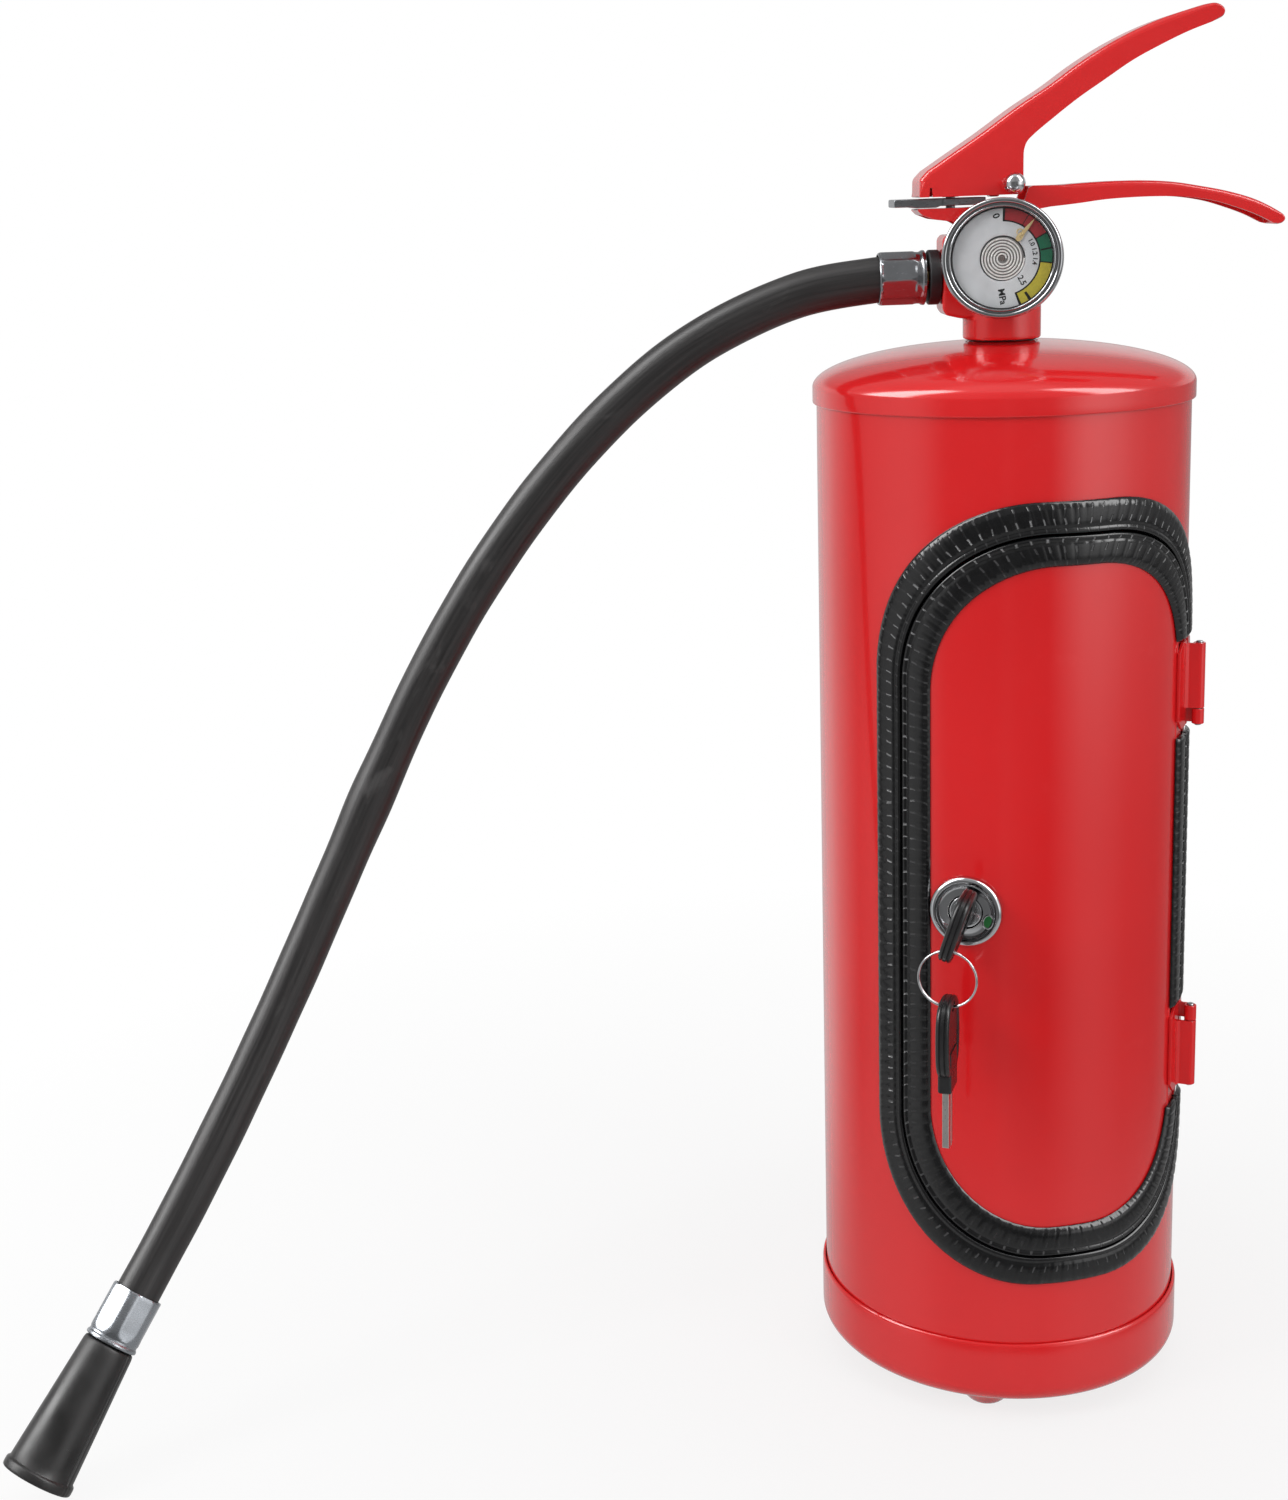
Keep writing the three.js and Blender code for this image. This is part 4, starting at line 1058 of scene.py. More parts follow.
def sweep(path, radius, seg=16, closed=False, squash=None, caps=True):
    """Round section swept along a path with a steady frame; radius is a number or one for each point."""
    P = np.asarray(path, float)
    n = len(P)
    T = np.gradient(P, axis=0) if not closed else np.roll(P, -1, 0) - np.roll(P, 1, 0)
    T /= np.linalg.norm(T, axis=1)[:, None]
    ref = np.array([0, 1.0, 0]) if abs(T[0][1]) < 0.9 else np.array([1.0, 0, 0])
    N = np.cross(T[0], ref)
    N /= np.linalg.norm(N)
    rings = []
    r = np.broadcast_to(radius, (n,))
    a = np.arange(seg) * 2 * pi / seg
    for i in range(n):
        if i:
            ax = np.cross(T[i - 1], T[i])
            sn = np.linalg.norm(ax)
            if sn > 1e-12:
                ax /= sn
                th = math.atan2(sn, float(T[i - 1] @ T[i]))
                N = N * math.cos(th) + np.cross(ax, N) * math.sin(th) + ax * (ax @ N) * (1 - math.cos(th))
        N = N - T[i] * (N @ T[i])
        N /= np.linalg.norm(N)
        B = np.cross(T[i], N)
        rings.append(P[i] + r[i] * (np.cos(a)[:, None] * N + np.sin(a)[:, None] * B))
    return loft(rings, close_u=closed, caps=caps)


# split ring: just under two turns of wire side by side
t = np.linspace(0.15, 2 * pi * 1.97, 260)
side = 0.33 * np.tanh((t - 2 * pi * 0.985) / 0.6)
ring_path = np.stack([RING_R * np.cos(t + 0.9), RING_R * np.sin(t + 0.9), side], 1)
ends = np.minimum(t - t[0], t[-1] - t)
ring_rad = 0.36 * np.clip(0.55 + ends / 0.12, 0, 1)
v, f = sweep(ring_path, ring_rad, 14)
v = v + np.array([hole_x, hole_y - RING_R - 0.1, KH["d"]])
piece("split_ring", (v, f), M["chrome"], "ring", "key_ring", angle=60, at=LF)

spare_top = hole_y - 2 * RING_R - 0.1
bow2 = key_bow(10.6, 13.6, KH["d"], spare_top - 10.4, 2.3, KH["d"], spare_top + 0.3, 1.9)
v2 = bow2[0] + np.array([hole_x, 0, 0])
sp_o = link("s", new_mesh("s", place(v2, *LF), bow2[1]))
nk = fillet([(-2.3, -5.9), (2.3, -5.9), (2.3, 5.9), (-2.3, 5.9)], 0.9, 4)
nrings = []
for s_, y in ((0.9, -29.2), (1.0, -28.7), (1.0, -20.0), (0.95, -15.0)):
    nrings.append([(p[0] * s_ + hole_x, spare_top + y, KH["d"] + p[1] * s_) for p in nk])
nv, nf = loft(nrings)
boolean(sp_o, [(place(nv, *LF), nf)], "UNION")
hv, hf = cross_hole(hole_x, spare_top + 0.3, KH["d"], 1.9, 3)
boolean(sp_o, [(place(hv, *LF), hf)])
bevel(sp_o, 0.16, 2, 55)
piece("spare_key_bow", sp_o, M["plastic"], "hanging_key", "spare_key", angle=40, weight=True)
bl = key_blade(0.0, 24.0, 3.7, [], 5)
bv = np.stack([bl[0][:, 0] + hole_x, spare_top - 50.5 + bl[0][:, 2], KH["d"] + bl[0][:, 1]], 1)
piece("spare_key_blade", (bv, bl[1]), M["key_steel"], "hanging_key", angle=30, at=LF)

# ------------------------------------------------------------------ valve casting
GAUGE_C = np.array([-5.9, -33, 403.9])
gN = radial(-13) * math.cos(math.radians(3)) + UP * math.sin(math.radians(3))
gN /= np.linalg.norm(gN)
gX = np.cross(UP, gN)
gX /= np.linalg.norm(gX)
gY = np.cross(gN, gX)
GF = (GAUGE_C, gX, gY, gN)
PF = frame_along((0, 0, PORT_Z), (-1, 0, 0))


def prism_y(outline2, y0, y1, r=0.0, n=4, chamfer_pts=None):
    """Side view of (x, z) made y0..y1 wide; the rims of the points named in chamfer_pts are rounded by r."""
    P = np.array(outline2, float)
    m = len(P)
    T = np.roll(P, -1, 0) - np.roll(P, 1, 0)
    T /= np.maximum(np.linalg.norm(T, axis=1), 1e-9)[:, None]
    area = 0.5 * np.sum(P[:, 0] * np.roll(P[:, 1], -1) - np.roll(P[:, 0], -1) * P[:, 1])
    N = np.stack([-T[:, 1], T[:, 0]], 1) * (1 if area > 0 else -1)      # pointing inside
    w = np.ones(m) if chamfer_pts is None else np.asarray(chamfer_pts, float)
    rings = []
    layers = [(y0 + r * (1 - math.sin(a)), r * (1 - math.cos(a))) for a in np.linspace(pi / 2, 0, n + 1)] if r > 0 else [(y0, 0)]
    layers = [(y0 + r - r * math.sin(a), r - r * math.cos(a)) for a in np.linspace(pi / 2, 0, n + 1)] if r > 0 else [(y0, 0)]
    both = layers + [(y0 + y1 - y, i) for y, i in layers[::-1]]
    for y, inset in both:
        q = P + N * (inset * w)[:, None]
        rings.append(np.stack([q[:, 0], np.full(m, y), q[:, 1]], 1))
    return loft(rings)


parts = [
    lathe(fillet([(0, 364), (9.9, 364), (9.9, 375.3), (13.5, 375.0), (13.5, 388.7), (12.4, 391.0), (12.4, 411.5), (0, 411.5)], [0, 0.6, 0.2, 0.6, 1.5, 1.5, 1.0, 0], 4, closed=False), 96),
    prism_y(fillet([(-11, 405), (9, 405), (9, 417), (-11, 417)], [0, 0, 0.8, 0.8], 4), -6.6, 6.6, 0.5),
    prism_y(fillet([(-21.8, 386), (-20.4, 384), (-15.5, 382.8), (-10, 382.6), (2, 382.6), (2, 411.5), (-20.4, 411.5), (-21.8, 410)], [1, 1, 2, 1, 0, 0, 1, 1], 3), -8, 8, 0.8),
    (place(lathe([(0, 0), (9.2, 0), (9.2, 21.2), (8.7, 21.8), (0, 21.8)], 64)[0], *PF), lathe([(0, 0), (9.2, 0), (9.2, 21.2), (8.7, 21.8), (0, 21.8)], 64)[1]),
    (place(lathe([(0, -33), (7.0, -33), (7.0, -13.9), (6.5, -13.4), (0, -13.4)], 64)[0], *GF), lathe([(0, -33), (7.0, -33), (7.0, -13.9), (6.5, -13.4), (0, -13.4)], 64)[1]),
]
valve_o = link("valve_casting", new_mesh("valve_casting", *parts[0]))
boolean(valve_o, parts[1:], "UNION")
m = valve_o.modifiers.new("skin", "REMESH")
m.mode, m.voxel_size, m.use_smooth_shade = "VOXEL", 0.42 * MM, True
m = valve_o.modifiers.new("cast", "SMOOTH")
m.factor, m.iterations = 0.5, 9
baked(valve_o)
bores = [
    lathe([(0, 360), (5.6, 360), (5.6, 388.2), (0, 388.2)], 48),
    lathe([(0, 387), (4.4, 387), (4.4, 404), (0, 404)], 48),
    lathe([(0, 403), (2.8, 403), (2.8, 420), (0, 420)], 40),
]
pb = lathe([(0, 3), (4.7, 3), (4.7, 30), (0, 30)], 48)
bores.append((place(pb[0], *PF), pb[1]))
gb = lathe([(0, -26), (4.95, -26), (4.95, -10), (0, -10)], 48)
bores.append((place(gb[0], *GF), gb[1]))
for x in (-7.5, 5.5):
    hb = lathe([(0, -20), (1.95, -20), (1.95, 20), (0, 20)], 32)
    bores.append((place(hb[0], *frame_along((x, 0, 414.6), (0, 1, 0))), hb[1]))
boolean(valve_o, bores)
piece("valve_casting", valve_o, M["valve"], "root", "valve_body", angle=40)

# ------------------------------------------------------------------ stem, spring and rivets
stem = fillet([(0, 374), (1.5, 374), (1.5, 383.5), (4.9, 383.5), (4.9, 386.2), (2.4, 386.2), (2.4, 422.9), (1.8, 423.5), (0, 423.5)],
              [0, 0.3, 0.3, 0.3, 0.3, 0.3, 0.3, 0.3, 0], 3, closed=False)
piece("valve_rod", lathe(stem, 56), M["steel"], "stem", "valve_stem")
v = fillet([(2.75, 386.5), (4.9, 386.5), (4.9, 387.8), (2.75, 387.8)], 0.35, 4)
piece("rod_seal", lathe(v, 56, closed=True), M["seal"], "stem", "stem_seal")
t = np.linspace(0, 1, 260)
coil = np.stack([3.9 * np.cos(t * 8 * pi), 3.9 * np.sin(t * 8 * pi), 372.8 + 9.9 * t], 1)
spring_o = piece("return_spring", sweep(coil, 0.5, 14), M["steel"], "root", "stem_spring", angle=60)
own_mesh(spring_o)
v = fillet([(2.0, 368.5), (5.2, 368.5), (5.2, 371.9), (2.0, 371.9)], 0.4, 3)
piece("spring_seat", lathe(v, 56, closed=True), M["brass"], "root", "spring_retainer")


def dome_rivet(half, head, shank):
    """Round-headed cross rivet along local z."""
    p = [(0, -half)] + [(head * math.sin(a), -half + 1.15 * (1 - math.cos(a))) for a in np.linspace(0.1, pi / 2, 9)]
    p += [(head, -half + 1.25), (shank, -half + 1.3)]
    return p + [(r, -z) for r, z in p[::-1]]


for label, x in (("front", -7.5), ("rear", 5.5)):
    v, f = lathe(dome_rivet(9.9, 2.6, 1.6), 48)
    piece("cross_rivet_" + label, (v, f), M["steel"], "root", "handle_rivet_" + label, at=frame_along((x, 0, 414.6), (0, 1, 0)))
rivet = fillet([(0, 416.6), (2.6, 416.6), (3.0, 417.1), (3.0, 418.1), (1.6, 418.1), (1.6, 424.3), (3.0, 424.3), (2.7, 425.1), (0, 425.3)],
               [0, 0.6, 0.3, 0.1, 0, 0, 0.2, 0.8, 0], 4, closed=False)
v, f = lathe(rivet, 48)
piece("plate_fixing_rivet", (v + np.array([-18, 0, 0]), f), M["steel"], "root", "plate_rivet")

# ------------------------------------------------------------------ fulcrum plate
fp = fillet([(-38.5, 421.3), (-38.5, 424), (-7, 424), (-7, 421.4), (-22.6, 421.4), (-24, 420.9), (-31, 420.9), (-32.6, 421.3)], [0.5, 0.5, 0.4, 0.3, 0.6, 0.8, 1.2, 0.4], 4)
fp_o = link("fp", new_mesh("fp", *prism_y(fp, -8, 8, 0.35)))
slot2 = []
for x0, x1 in ((-22.35, -21.6),):
    for s in (-1, 1):
        q = [(x0, 418), (x1, 418), (x1, 426), (x0, 426)]
        slot2.append(prism_y(q, min(s * 7.3, s * 9), max(s * 7.3, s * 9)))
hb = lathe([(0, 410), (1.95, 410), (1.95, 430), (0, 430)], 32)
boolean(fp_o, slot2 + [(hb[0] + np.array([-18, 0, 0]), hb[1])])
piece("rocker_plate", fp_o, M["plate"], "root", "fulcrum_plate", angle=35, weight=True)

# ------------------------------------------------------------------ carrying handle and squeeze lever: pressed U channels
H_TOP = [(19.5, 427.2), (28.9, 427.6), (38.3, 427.8), (47.7, 427.6), (57.1, 426.8), (66.5, 425.1), (76, 423), (85.5, 419.9), (93.1, 415.9), (95.3, 414.2), (95.6, 412.9),
         (94.6, 411.7), (93.0, 411.3)]
H_LOW = [(91.4, 411.8), (85.6, 414.8), (79, 417.4), (71.3, 419.9), (61.9, 421.6), (52.5, 422.1), (43.1, 422.1), (33.7, 421.7), (24.3, 420.7), (14.9, 419.9)]
H_REST = [(11.6, 419.4), (10, 412.6), (-12, 412.6), (-18, 416), (-25, 417), (-29, 418.6), (-31, 420.6), (-3, 420.6), (-2, 418.4), (4.5, 418.4), (5.5, 420.6), (7.6, 426.6), (9, 427.2)]
h_top, h_low = smooth_path(H_TOP, 6), smooth_path(H_LOW, 5)
h_rest = fillet(H_REST, [0.6, 0.8, 1.2, 2.5, 3, 1.0, 0.4, 0.6, 0.8, 0.8, 0.5, 0.5, 0.4], 3, closed=False)
h_out = np.concatenate([h_top, h_low, h_rest])
h_soft = np.interp(np.arange(len(h_top)), [0, 3, 40, 50, len(h_top) - 1], [0.5, 1, 1, 0.45, 0.3])
h_web = np.concatenate([h_soft, np.zeros(len(h_low) + len(h_rest))])
handle_o = link("handle", new_mesh("handle", *prism_y(h_out, -8.5, 8.5, 1.9, 6, h_web)))
hin_top = [(7.9, 440), (9.2, 425.7), (19.5, 425.6), (28.9, 426.1), (38.3, 426.3), (47.7, 426.1), (57.1, 425.3), (66.3, 423.6), (75.6, 421.5), (85.0, 418.4), (91.8, 414.8), (92.6, 413.6)]
hin = np.concatenate([smooth_path(hin_top[1:], 5), [(91, 400), (-40, 400), (-40, 418.4), (-13, 418.4), (-13, 440), (7.9, 440)]])
hin_web = np.concatenate([np.ones(10 * 5 + 1), np.zeros(6)])[: len(hin)]
boolean(handle_o, [prism_y(hin, -7.0, 7.0, 0.9, 4, hin_web)])
cuts = [(hb[0] + np.array([-18, 0, 0]), hb[1])]
for x in (-7.5, 5.5):
    h2 = lathe([(0, -20), (1.95, -20), (1.95, 20), (0, 20)], 32)
    cuts.append((place(h2[0], *frame_along((x, 0, 414.6), (0, 1, 0))), h2[1]))
boolean(handle_o, cuts)
bevel(handle_o, 0.28, 2, 50)
piece("lower_handle", handle_o, M["valve"], "root", "carry_handle", angle=38, weight=True)

L_TOP = [(-27.3, 433.4), (-18.4, 439.2), (-9.1, 445.2), (3.8, 454.1), (14, 460.4), (23.2, 466.8), (32.3, 472.3), (41.5, 476.9), (50.7, 480.6), (59.8, 483.3), (66.8, 485.05),
         (69.6, 485.2), (71.8, 484.1), (72.6, 482.6), (72.0, 480.9), (70.2, 479.85)]
L_LOW = [(68.2, 479.1), (60, 476.2), (50.8, 472.1), (41.7, 467.5), (32.5, 461.6), (23.3, 455.6), (14.1, 448.7), (8.6, 444.3), (6.3, 441.9), (5.35, 439.2), (5.2, 436)]
l_nose = fillet([(4, 424.5), (-30, 424.5), (-30, 430.6), (-27.3, 433.4)], [0, 0.5, 2.6, 0], 5, closed=False)[1:-1]
l_top, l_low = smooth_path(L_TOP, 6), smooth_path(L_LOW, 5)
l_tail = fillet([(5.2, 436), (5.2, 424.5), (-30, 424.5)], [0, 1.6, 0], 4, closed=False)[1:-1]
l_out = np.concatenate([l_top, l_low, l_tail, l_nose])
nose_w = np.array([min(1.0, max(0.0, (p[1] - 425.0) / 4.0)) for p in l_nose])
l_soft = np.interp(np.arange(len(l_top)), [0, 52, 64, len(l_top) - 1], [1, 1, 0.42, 0.25])
l_web = np.concatenate([l_soft, np.zeros(len(l_low) + len(l_tail)), nose_w])
lever_o = link("lever", new_mesh("lever", *prism_y(l_out, -11, 11, 2.2, 7, l_web)))
lin_top = [(-28.8, 410), (-28.8, 428.8), (-27.6, 431.2), (-18, 437.6), (-8.5, 443.7), (4.4, 452.6), (14.6, 458.9), (23.8, 465.3), (32.9, 470.8), (42, 475.4), (51.1, 479.1), (60.2, 481.8), (68.0, 483.6), (70.2, 482.9)]
lin_s = smooth_path(lin_top[2:], 5)
lin = np.concatenate([[lin_top[0], lin_top[1]], lin_s, [(71.4, 470), (60, 460), (30, 440), (12, 430), (12, 410)]])
lin_w = np.concatenate([[0, 1], np.ones(len(lin_s)), np.zeros(5)])
boolean(lever_o, [prism_y(lin, -9.7, 9.7, 1.0, 4, lin_w)])
pusher = prism_y(fillet([(-5, 423.9), (-1.6, 423.9), (-1.6, 449.3), (-5, 447.0)], [0.6, 0.6, 0, 0], 3), -3, 3, 0.3)
boolean(lever_o, [pusher], "UNION")
pinhole = lathe([(0, -20), (2.45, -20), (2.45, 20), (0, 20)], 40)
relief = []
for s in (-1, 1):
    q = [(-26.9, 423), (-25.5, 423), (-25.9, 427.6), (-26.6, 427.6)]
    relief.append(prism_y(q, min(s * 8.0, s * 12), max(s * 8.0, s * 12)))
boolean(lever_o, [(place(pinhole[0], *frame_along((1.0, 0, 428.2), (0, 1, 0))), pinhole[1])] + relief)
bevel(lever_o, 0.28, 2, 50)
piece("press_lever", lever_o, M["valve"], "lever", "squeeze_lever", angle=38, weight=True)

# ------------------------------------------------------------------ safety pin with a polished round head
pin = [(0, -21.6)] + [(3.45 * math.sin(a), -21.6 + 3.0 * (1 - math.cos(a))) for a in np.linspace(0.12, pi / 2, 12)]
pin += [(3.6, -18.3), (3.6, -17.9), (3.3, -17.6), (2.3, -17.4), (2.0, -17.1), (2.0, 13.3), (1.7, 14.0), (1.1, 14.4), (0, 14.4)]
v, f = lathe(pin, 64)
piece("locking_pin", (v, f), M["chrome"], "pin", "safety_pin", at=frame_along((1.0, 0, 428.2), (0, 1, 0)))

# ------------------------------------------------------------------ pressure gauge
case = fillet([(2.2, -10.4), (18.6, -10.4), (18.6, -2.2), (17.6, -2.2), (17.6, -9.4), (2.2, -9.4)], [0, 0.9, 0.2, 0.2, 0.5, 0], 4)
v, f = lathe(case, 96, closed=True)
piece("gauge_cup", (v, f), M["steel"], "root", "gauge_case", at=GF)
v, f = lathe(fillet([(1.2, -24), (4.5, -24), (4.5, -10.7), (1.2, -10.7)], 0.3, 3), 48, closed=True)
piece("gauge_fitting", (v, f), M["brass"], "root", "gauge_stem", at=GF)
bez = [(17.0, -0.75), (17.05, -0.45), (17.25, -0.28), (17.5, -0.3), (17.75, -0.75), (17.98, -0.92), (18.2, -0.8), (18.45, -0.25), (18.8, -0.04), (19.2, 0.0), (19.6, -0.12), (19.9, -0.42),
       (20.06, -0.85), (20.1, -1.5), (20.1, -5.6), (19.98, -6.0), (20.1, -6.4), (20.1, -8.7), (19.95, -9.1), (19.6, -9.2), (19.15, -9.1), (19.0, -8.8), (19.0, -0.8), (18.6, -0.72)]
v, f = lathe(bez, 160, closed=True)
piece("gauge_rim", (v, f), M["rim"], "root", "gauge_bezel", angle=60, at=GF)
lens = [(0, -1.85)] + [(r, -1.85) for r in (6, 12, 17.6)] + [(18.1, -1.75), (18.3, -1.5), (18.2, -1.15), (17.6, -1.0)] + [(r, -1.0 + 0.14 * (1 - (r / 17.6) ** 2)) for r in (14, 10, 6, 2)] + [(0, -0.86)]
v, f = lathe(lens, 96)
piece("gauge_glass", (v, f), M["lens"], "root", "gauge_lens", angle=50, at=GF)

dial = [(7.5, -4.1), (17.2, -4.1), (17.2, -3.62), (17.05, -3.5), (16.9, -3.5)] + [(r, -3.5) for r in (14, 11, 8.4)] + [(7.9, -3.52), (7.6, -3.66), (7.5, -3.8)]
v, f = lathe(dial, 128, closed=True)
piece("dial_plate", (v, f), M["dial"], "root", "gauge_dial", at=GF)


def band(r0, r1, a0, a1, z0=-3.53, z1=-3.46):
    """Annular sector, angles clockwise from the top."""
    n = max(2, int(abs(a1 - a0) / 1.5))
    rings = []
    for a in np.radians(np.linspace(a0, a1, n + 1)):
        c, s = math.sin(a), math.cos(a)
        rings.append([(r0 * c, r0 * s, z0), (r1 * c, r1 * s, z0), (r1 * c, r1 * s, z1), (r0 * c, r0 * s, z1)])
    return loft(rings)


R0, R1 = 12.6, 16.55
bands = [("dial_band_red", "ink_red", band(R0, R1, 1.6, 60.6)), ("dial_band_green", "ink_green", band(R0, R1, 60.6, 96.5)), ("dial_band_yellow", "ink_yellow", band(R0, R1, 96.5, 158.7))]
for nm, mt, geo in bands:
    piece(nm, geo, M[mt], "root", at=GF)
lines = []
zt = (-3.47, -3.43)
for a in (1.6, 158.7):
    lines.append(band(R0 - 0.4, R1, a - 1.5, a + 1.5, *zt))
lines.append(band(R0 + 0.3, R1, 77.9, 80.1, *zt))
lines.append(band(R0 + 0.1, R1 - 0.1, 30.6, 31.6, *zt))
lines.append(band(R0 + 1.0, R1, 144.2, 147.8, *zt))
lines.append(band(R0 - 0.42, R0 + 0.08, 0.6, 159.7, *zt))
for a in (60.6, 96.5):
    lines.append(band(R0, R1, a - 0.75, a + 0.75, *zt))
v, f = merge(*lines)
piece("dial_lines", (v, f), M["ink_black"], "root", at=GF)


def numerals(name, text, size, radius, angle, lean, mat):
    """Generic dial figures as thin raised type. angle clockwise from the top, lean turns the figures on the spot."""
    cu = bpy.data.curves.new(name, "FONT")
    cu.body, cu.size, cu.align_x, cu.align_y = text, size, "CENTER", "CENTER"
    cu.extrude, cu.resolution_u, cu.offset = 0.02, 3, 0.07
    tmp = bpy.data.objects.new(name + "_t", cu)
    scene.collection.objects.link(tmp)
    bpy.context.view_layer.update()
    dg = bpy.context.evaluated_depsgraph_get()
    me = bpy.data.meshes.new_from_object(tmp.evaluated_get(dg), depsgraph=dg)
    co = np.array([q.co for q in me.vertices], float)
    fa = [list(p.vertices) for p in me.polygons]
    bpy.data.objects.remove(tmp)
    bpy.data.meshes.remove(me)
    co = turned(co, lean)
    a = math.radians(angle)
    co = co + np.array([radius * math.sin(a), radius * math.cos(a), -3.47])
    bpy.data.curves.remove(cu)
    return piece(name, (co, fa), mat, "root", at=GF)


numerals("dial_figure_low", "1.0", 2.1, 10.75, 62.0, -62.0, M["ink_black"])
numerals("dial_figure_working", "1.2", 2.1, 10.75, 79.0, -79.0, M["ink_black"])
numerals("dial_figure_high", "1.4", 2.1, 10.75, 96.0, -96.0, M["ink_black"])
numerals("dial_figure_full", "2.5", 2.7, 9.9, 139.0, -62.0, M["ink_black"])
numerals("dial_figure_zero", "0", 3.2, 14.2, -9.0, -72.0, M["ink_black"])
numerals("dial_unit", "MPa", 3.1, 12.7, 180.0, -80.0, M["ink_black"])

# black ring between the dial and the bezel: a dark part standing in for the shadow ring inside the bezel, painted shade
sp = fillet([(16.45, -3.4), (17.5, -3.4), (17.5, -1.95), (16.6, -1.95)], 0.1, 2)
v, f = lathe(sp, 128, closed=True)
piece("dial_shade_ring", (v, f), M["seal"], "root", at=GF)

# Bourdon coil: flat spiral of tube behind the hole in the dial
turns = 6.0
t = np.linspace(0, 1, 620)
rr = 1.2 + 6.0 * t
a = t * turns * 2 * pi
spiral = np.stack([rr * np.cos(a), rr * np.sin(a), -3.62 - 0.25 * (1 - t) * 0], 1)
v, f = sweep(spiral, 0.29, 10)
v = v * np.array([1, 1, 1.0])
base_disc = lathe(fillet([(0, -4.6), (7.1, -4.6), (7.1, -4.05), (0, -4.05)], [0, 0.15, 0.15, 0], 3, closed=False), 96)
hub = lathe([(0, -9.0), (0.9, -9.0), (0.9, -3.3), (0.7, -3.1), (0, -3.1)], 40)
coil_o = link("coil", new_mesh("coil", place(v, *GF), f))
piece("pressure_coil", coil_o, M["coil"], "root", "bourdon_coil", angle=60)
# the carrier shows through the gaps of the coil in a darker colour: painted shade
piece("coil_carrier", base_disc, M["coil_tray_gap_shade"], "root", at=GF)
piece("coil_hub", hub, M["coil_dark"], "root", at=GF)

nd = []
for y, w, z in ((7.4, 0.42, -3.0), (7.9, 0.85, -2.95), (8.6, 1.05, -2.92), (9.6, 0.95, -2.88), (10.6, 0.62, -2.86), (11.6, 0.58, -2.86), (12.6, 0.62, -2.86), (13.6, 0.48, -2.86), (15.0, 0.3, -2.86), (16.2, 0.12, -2.86)):
    nd.append([(-w, y, z - 0.12), (w, y, z - 0.12), (w, y, z + 0.06), (w * 0.4, y, z + 0.13), (-w * 0.4, y, z + 0.13), (-w, y, z + 0.06)])
v, f = loft(nd)
hook_t = np.linspace(-0.9, 4.4, 30)
hook = np.stack([-0.9 + 1.05 * np.cos(hook_t), 10.2 + 1.05 * np.sin(hook_t), np.full(30, -2.72)], 1)
hv, hf = sweep(hook, 0.22, 8)
v, f = merge((v, f), (hv, hf))
v = turned(v, -39.6)
piece("pointer", (v, f), M["gold"], "needle", "gauge_needle", at=GF)

# ------------------------------------------------------------------ hose line
col = fillet([(4.9, 22.1), (9.5, 22.1), (9.5, 26.2), (4.9, 26.2)], [0.2, 0.7, 0.7, 0.2], 4)
v, f = lathe(col, 96, closed=True)
piece("port_collar", (v, f), M["seal"], "root", "hose_collar", at=PF)
nip = fillet([(2.8, 6), (4.0, 6), (4.0, 37), (2.8, 37)], 0.25, 3)
v, f = lathe(nip, 48, closed=True)
piece("hose_tail", (v, f), M["brass"], "root", "hose_nipple", at=PF)

HOSE = [(-27.5, 0, 397), (-34, 0, 397), (-40, 0, 396.9), (-45.5, 0.1, 396.5), (-70.7, 0.7, 392.5), (-105.0, 1.5, 377.8), (-132.2, 1.2, 358.0), (-160.0, 0.3, 329.9), (-186.4, -1.0, 295.5),
        (-208.1, -3.0, 260.2), (-226.3, -7.5, 224.7), (-245.1, -16.0, 185.5), (-262.1, -27.0, 150.4), (-280.6, -41.0, 114.5), (-297.7, -55.5, 83.8), (-308.1, -64.5, 66.4)]
mouth = np.array([-347.5, -103.2, 3.0])
last = np.array(HOSE[-1])
end_dir = (mouth - last) / np.linalg.norm(mouth - last)
tail = last + end_dir * 33.7
path = smooth_path([np.array(p, float) for p in HOSE] + [last + end_dir * 16.85, tail], 24)
path, along = resample(path, 1.2)
bulge = 0.45 * np.exp(-(((along - 290) / 16) ** 2)) - 0.18 * np.exp(-(((along - 262) / 12) ** 2))
wander = 0.05 * np.sin(along / 13.0) + 0.04 * np.sin(along / 5.1 + 1)
hr = 7.95 + bulge + wander
pinch = np.clip(1 - (along[-1] - along - 19.5) / 5.0, 0, 1)
hr = hr - 0.0 * pinch
SEG_H = 48
outer_v, _ = sweep(path, hr, SEG_H)
inner_v, _ = sweep(path, 4.8, SEG_H)
n = len(path)
O, I = outer_v.reshape(n, SEG_H, 3), inner_v.reshape(n, SEG_H, 3)
rings = np.concatenate([O, I[::-1]])
v, f = loft(rings, close_u=True, caps=False)
hose_o = link("hose_tube", new_mesh("hose_tube", v, f, fix=False))
bm = bmesh.new()
bm.from_mesh(hose_o.data)
bmesh.ops.recalc_face_normals(bm, faces=bm.faces)
bm.to_mesh(hose_o.data)
bm.free()
uu = np.concatenate([along, along[::-1]])
ww = np.arange(SEG_H) / SEG_H * 2 * pi * 8.0
ww = np.where(ww > pi * 8, 2 * pi * 8 - ww, ww)
set_uv(hose_o, np.stack(np.broadcast_arrays(uu[:, None], ww[None]), -1).reshape(-1, 2))
piece("hose_tube", hose_o, M["hose"], "root", "hose", angle=60)


def crimp(r_flat, r_round, sides, z, turn=0.0, n=96, soft=0.22):
    """Section of a crimped sleeve: a regular polygon of inradius r_flat, limited by a circle."""
    a = np.arange(n) * 2 * pi / n
    k = 2 * pi / sides
    d = (a - turn + k / 2) % k - k / 2
    r = np.minimum(r_flat / np.cos(d), r_round)
    return np.stack([r * np.cos(a), r * np.sin(a), 0 * a + z], 1)


def circ(r, z, n=96):
    a = np.arange(n) * 2 * pi / n
    return np.stack([r * np.cos(a), r * np.sin(a), 0 * a + z], 1)


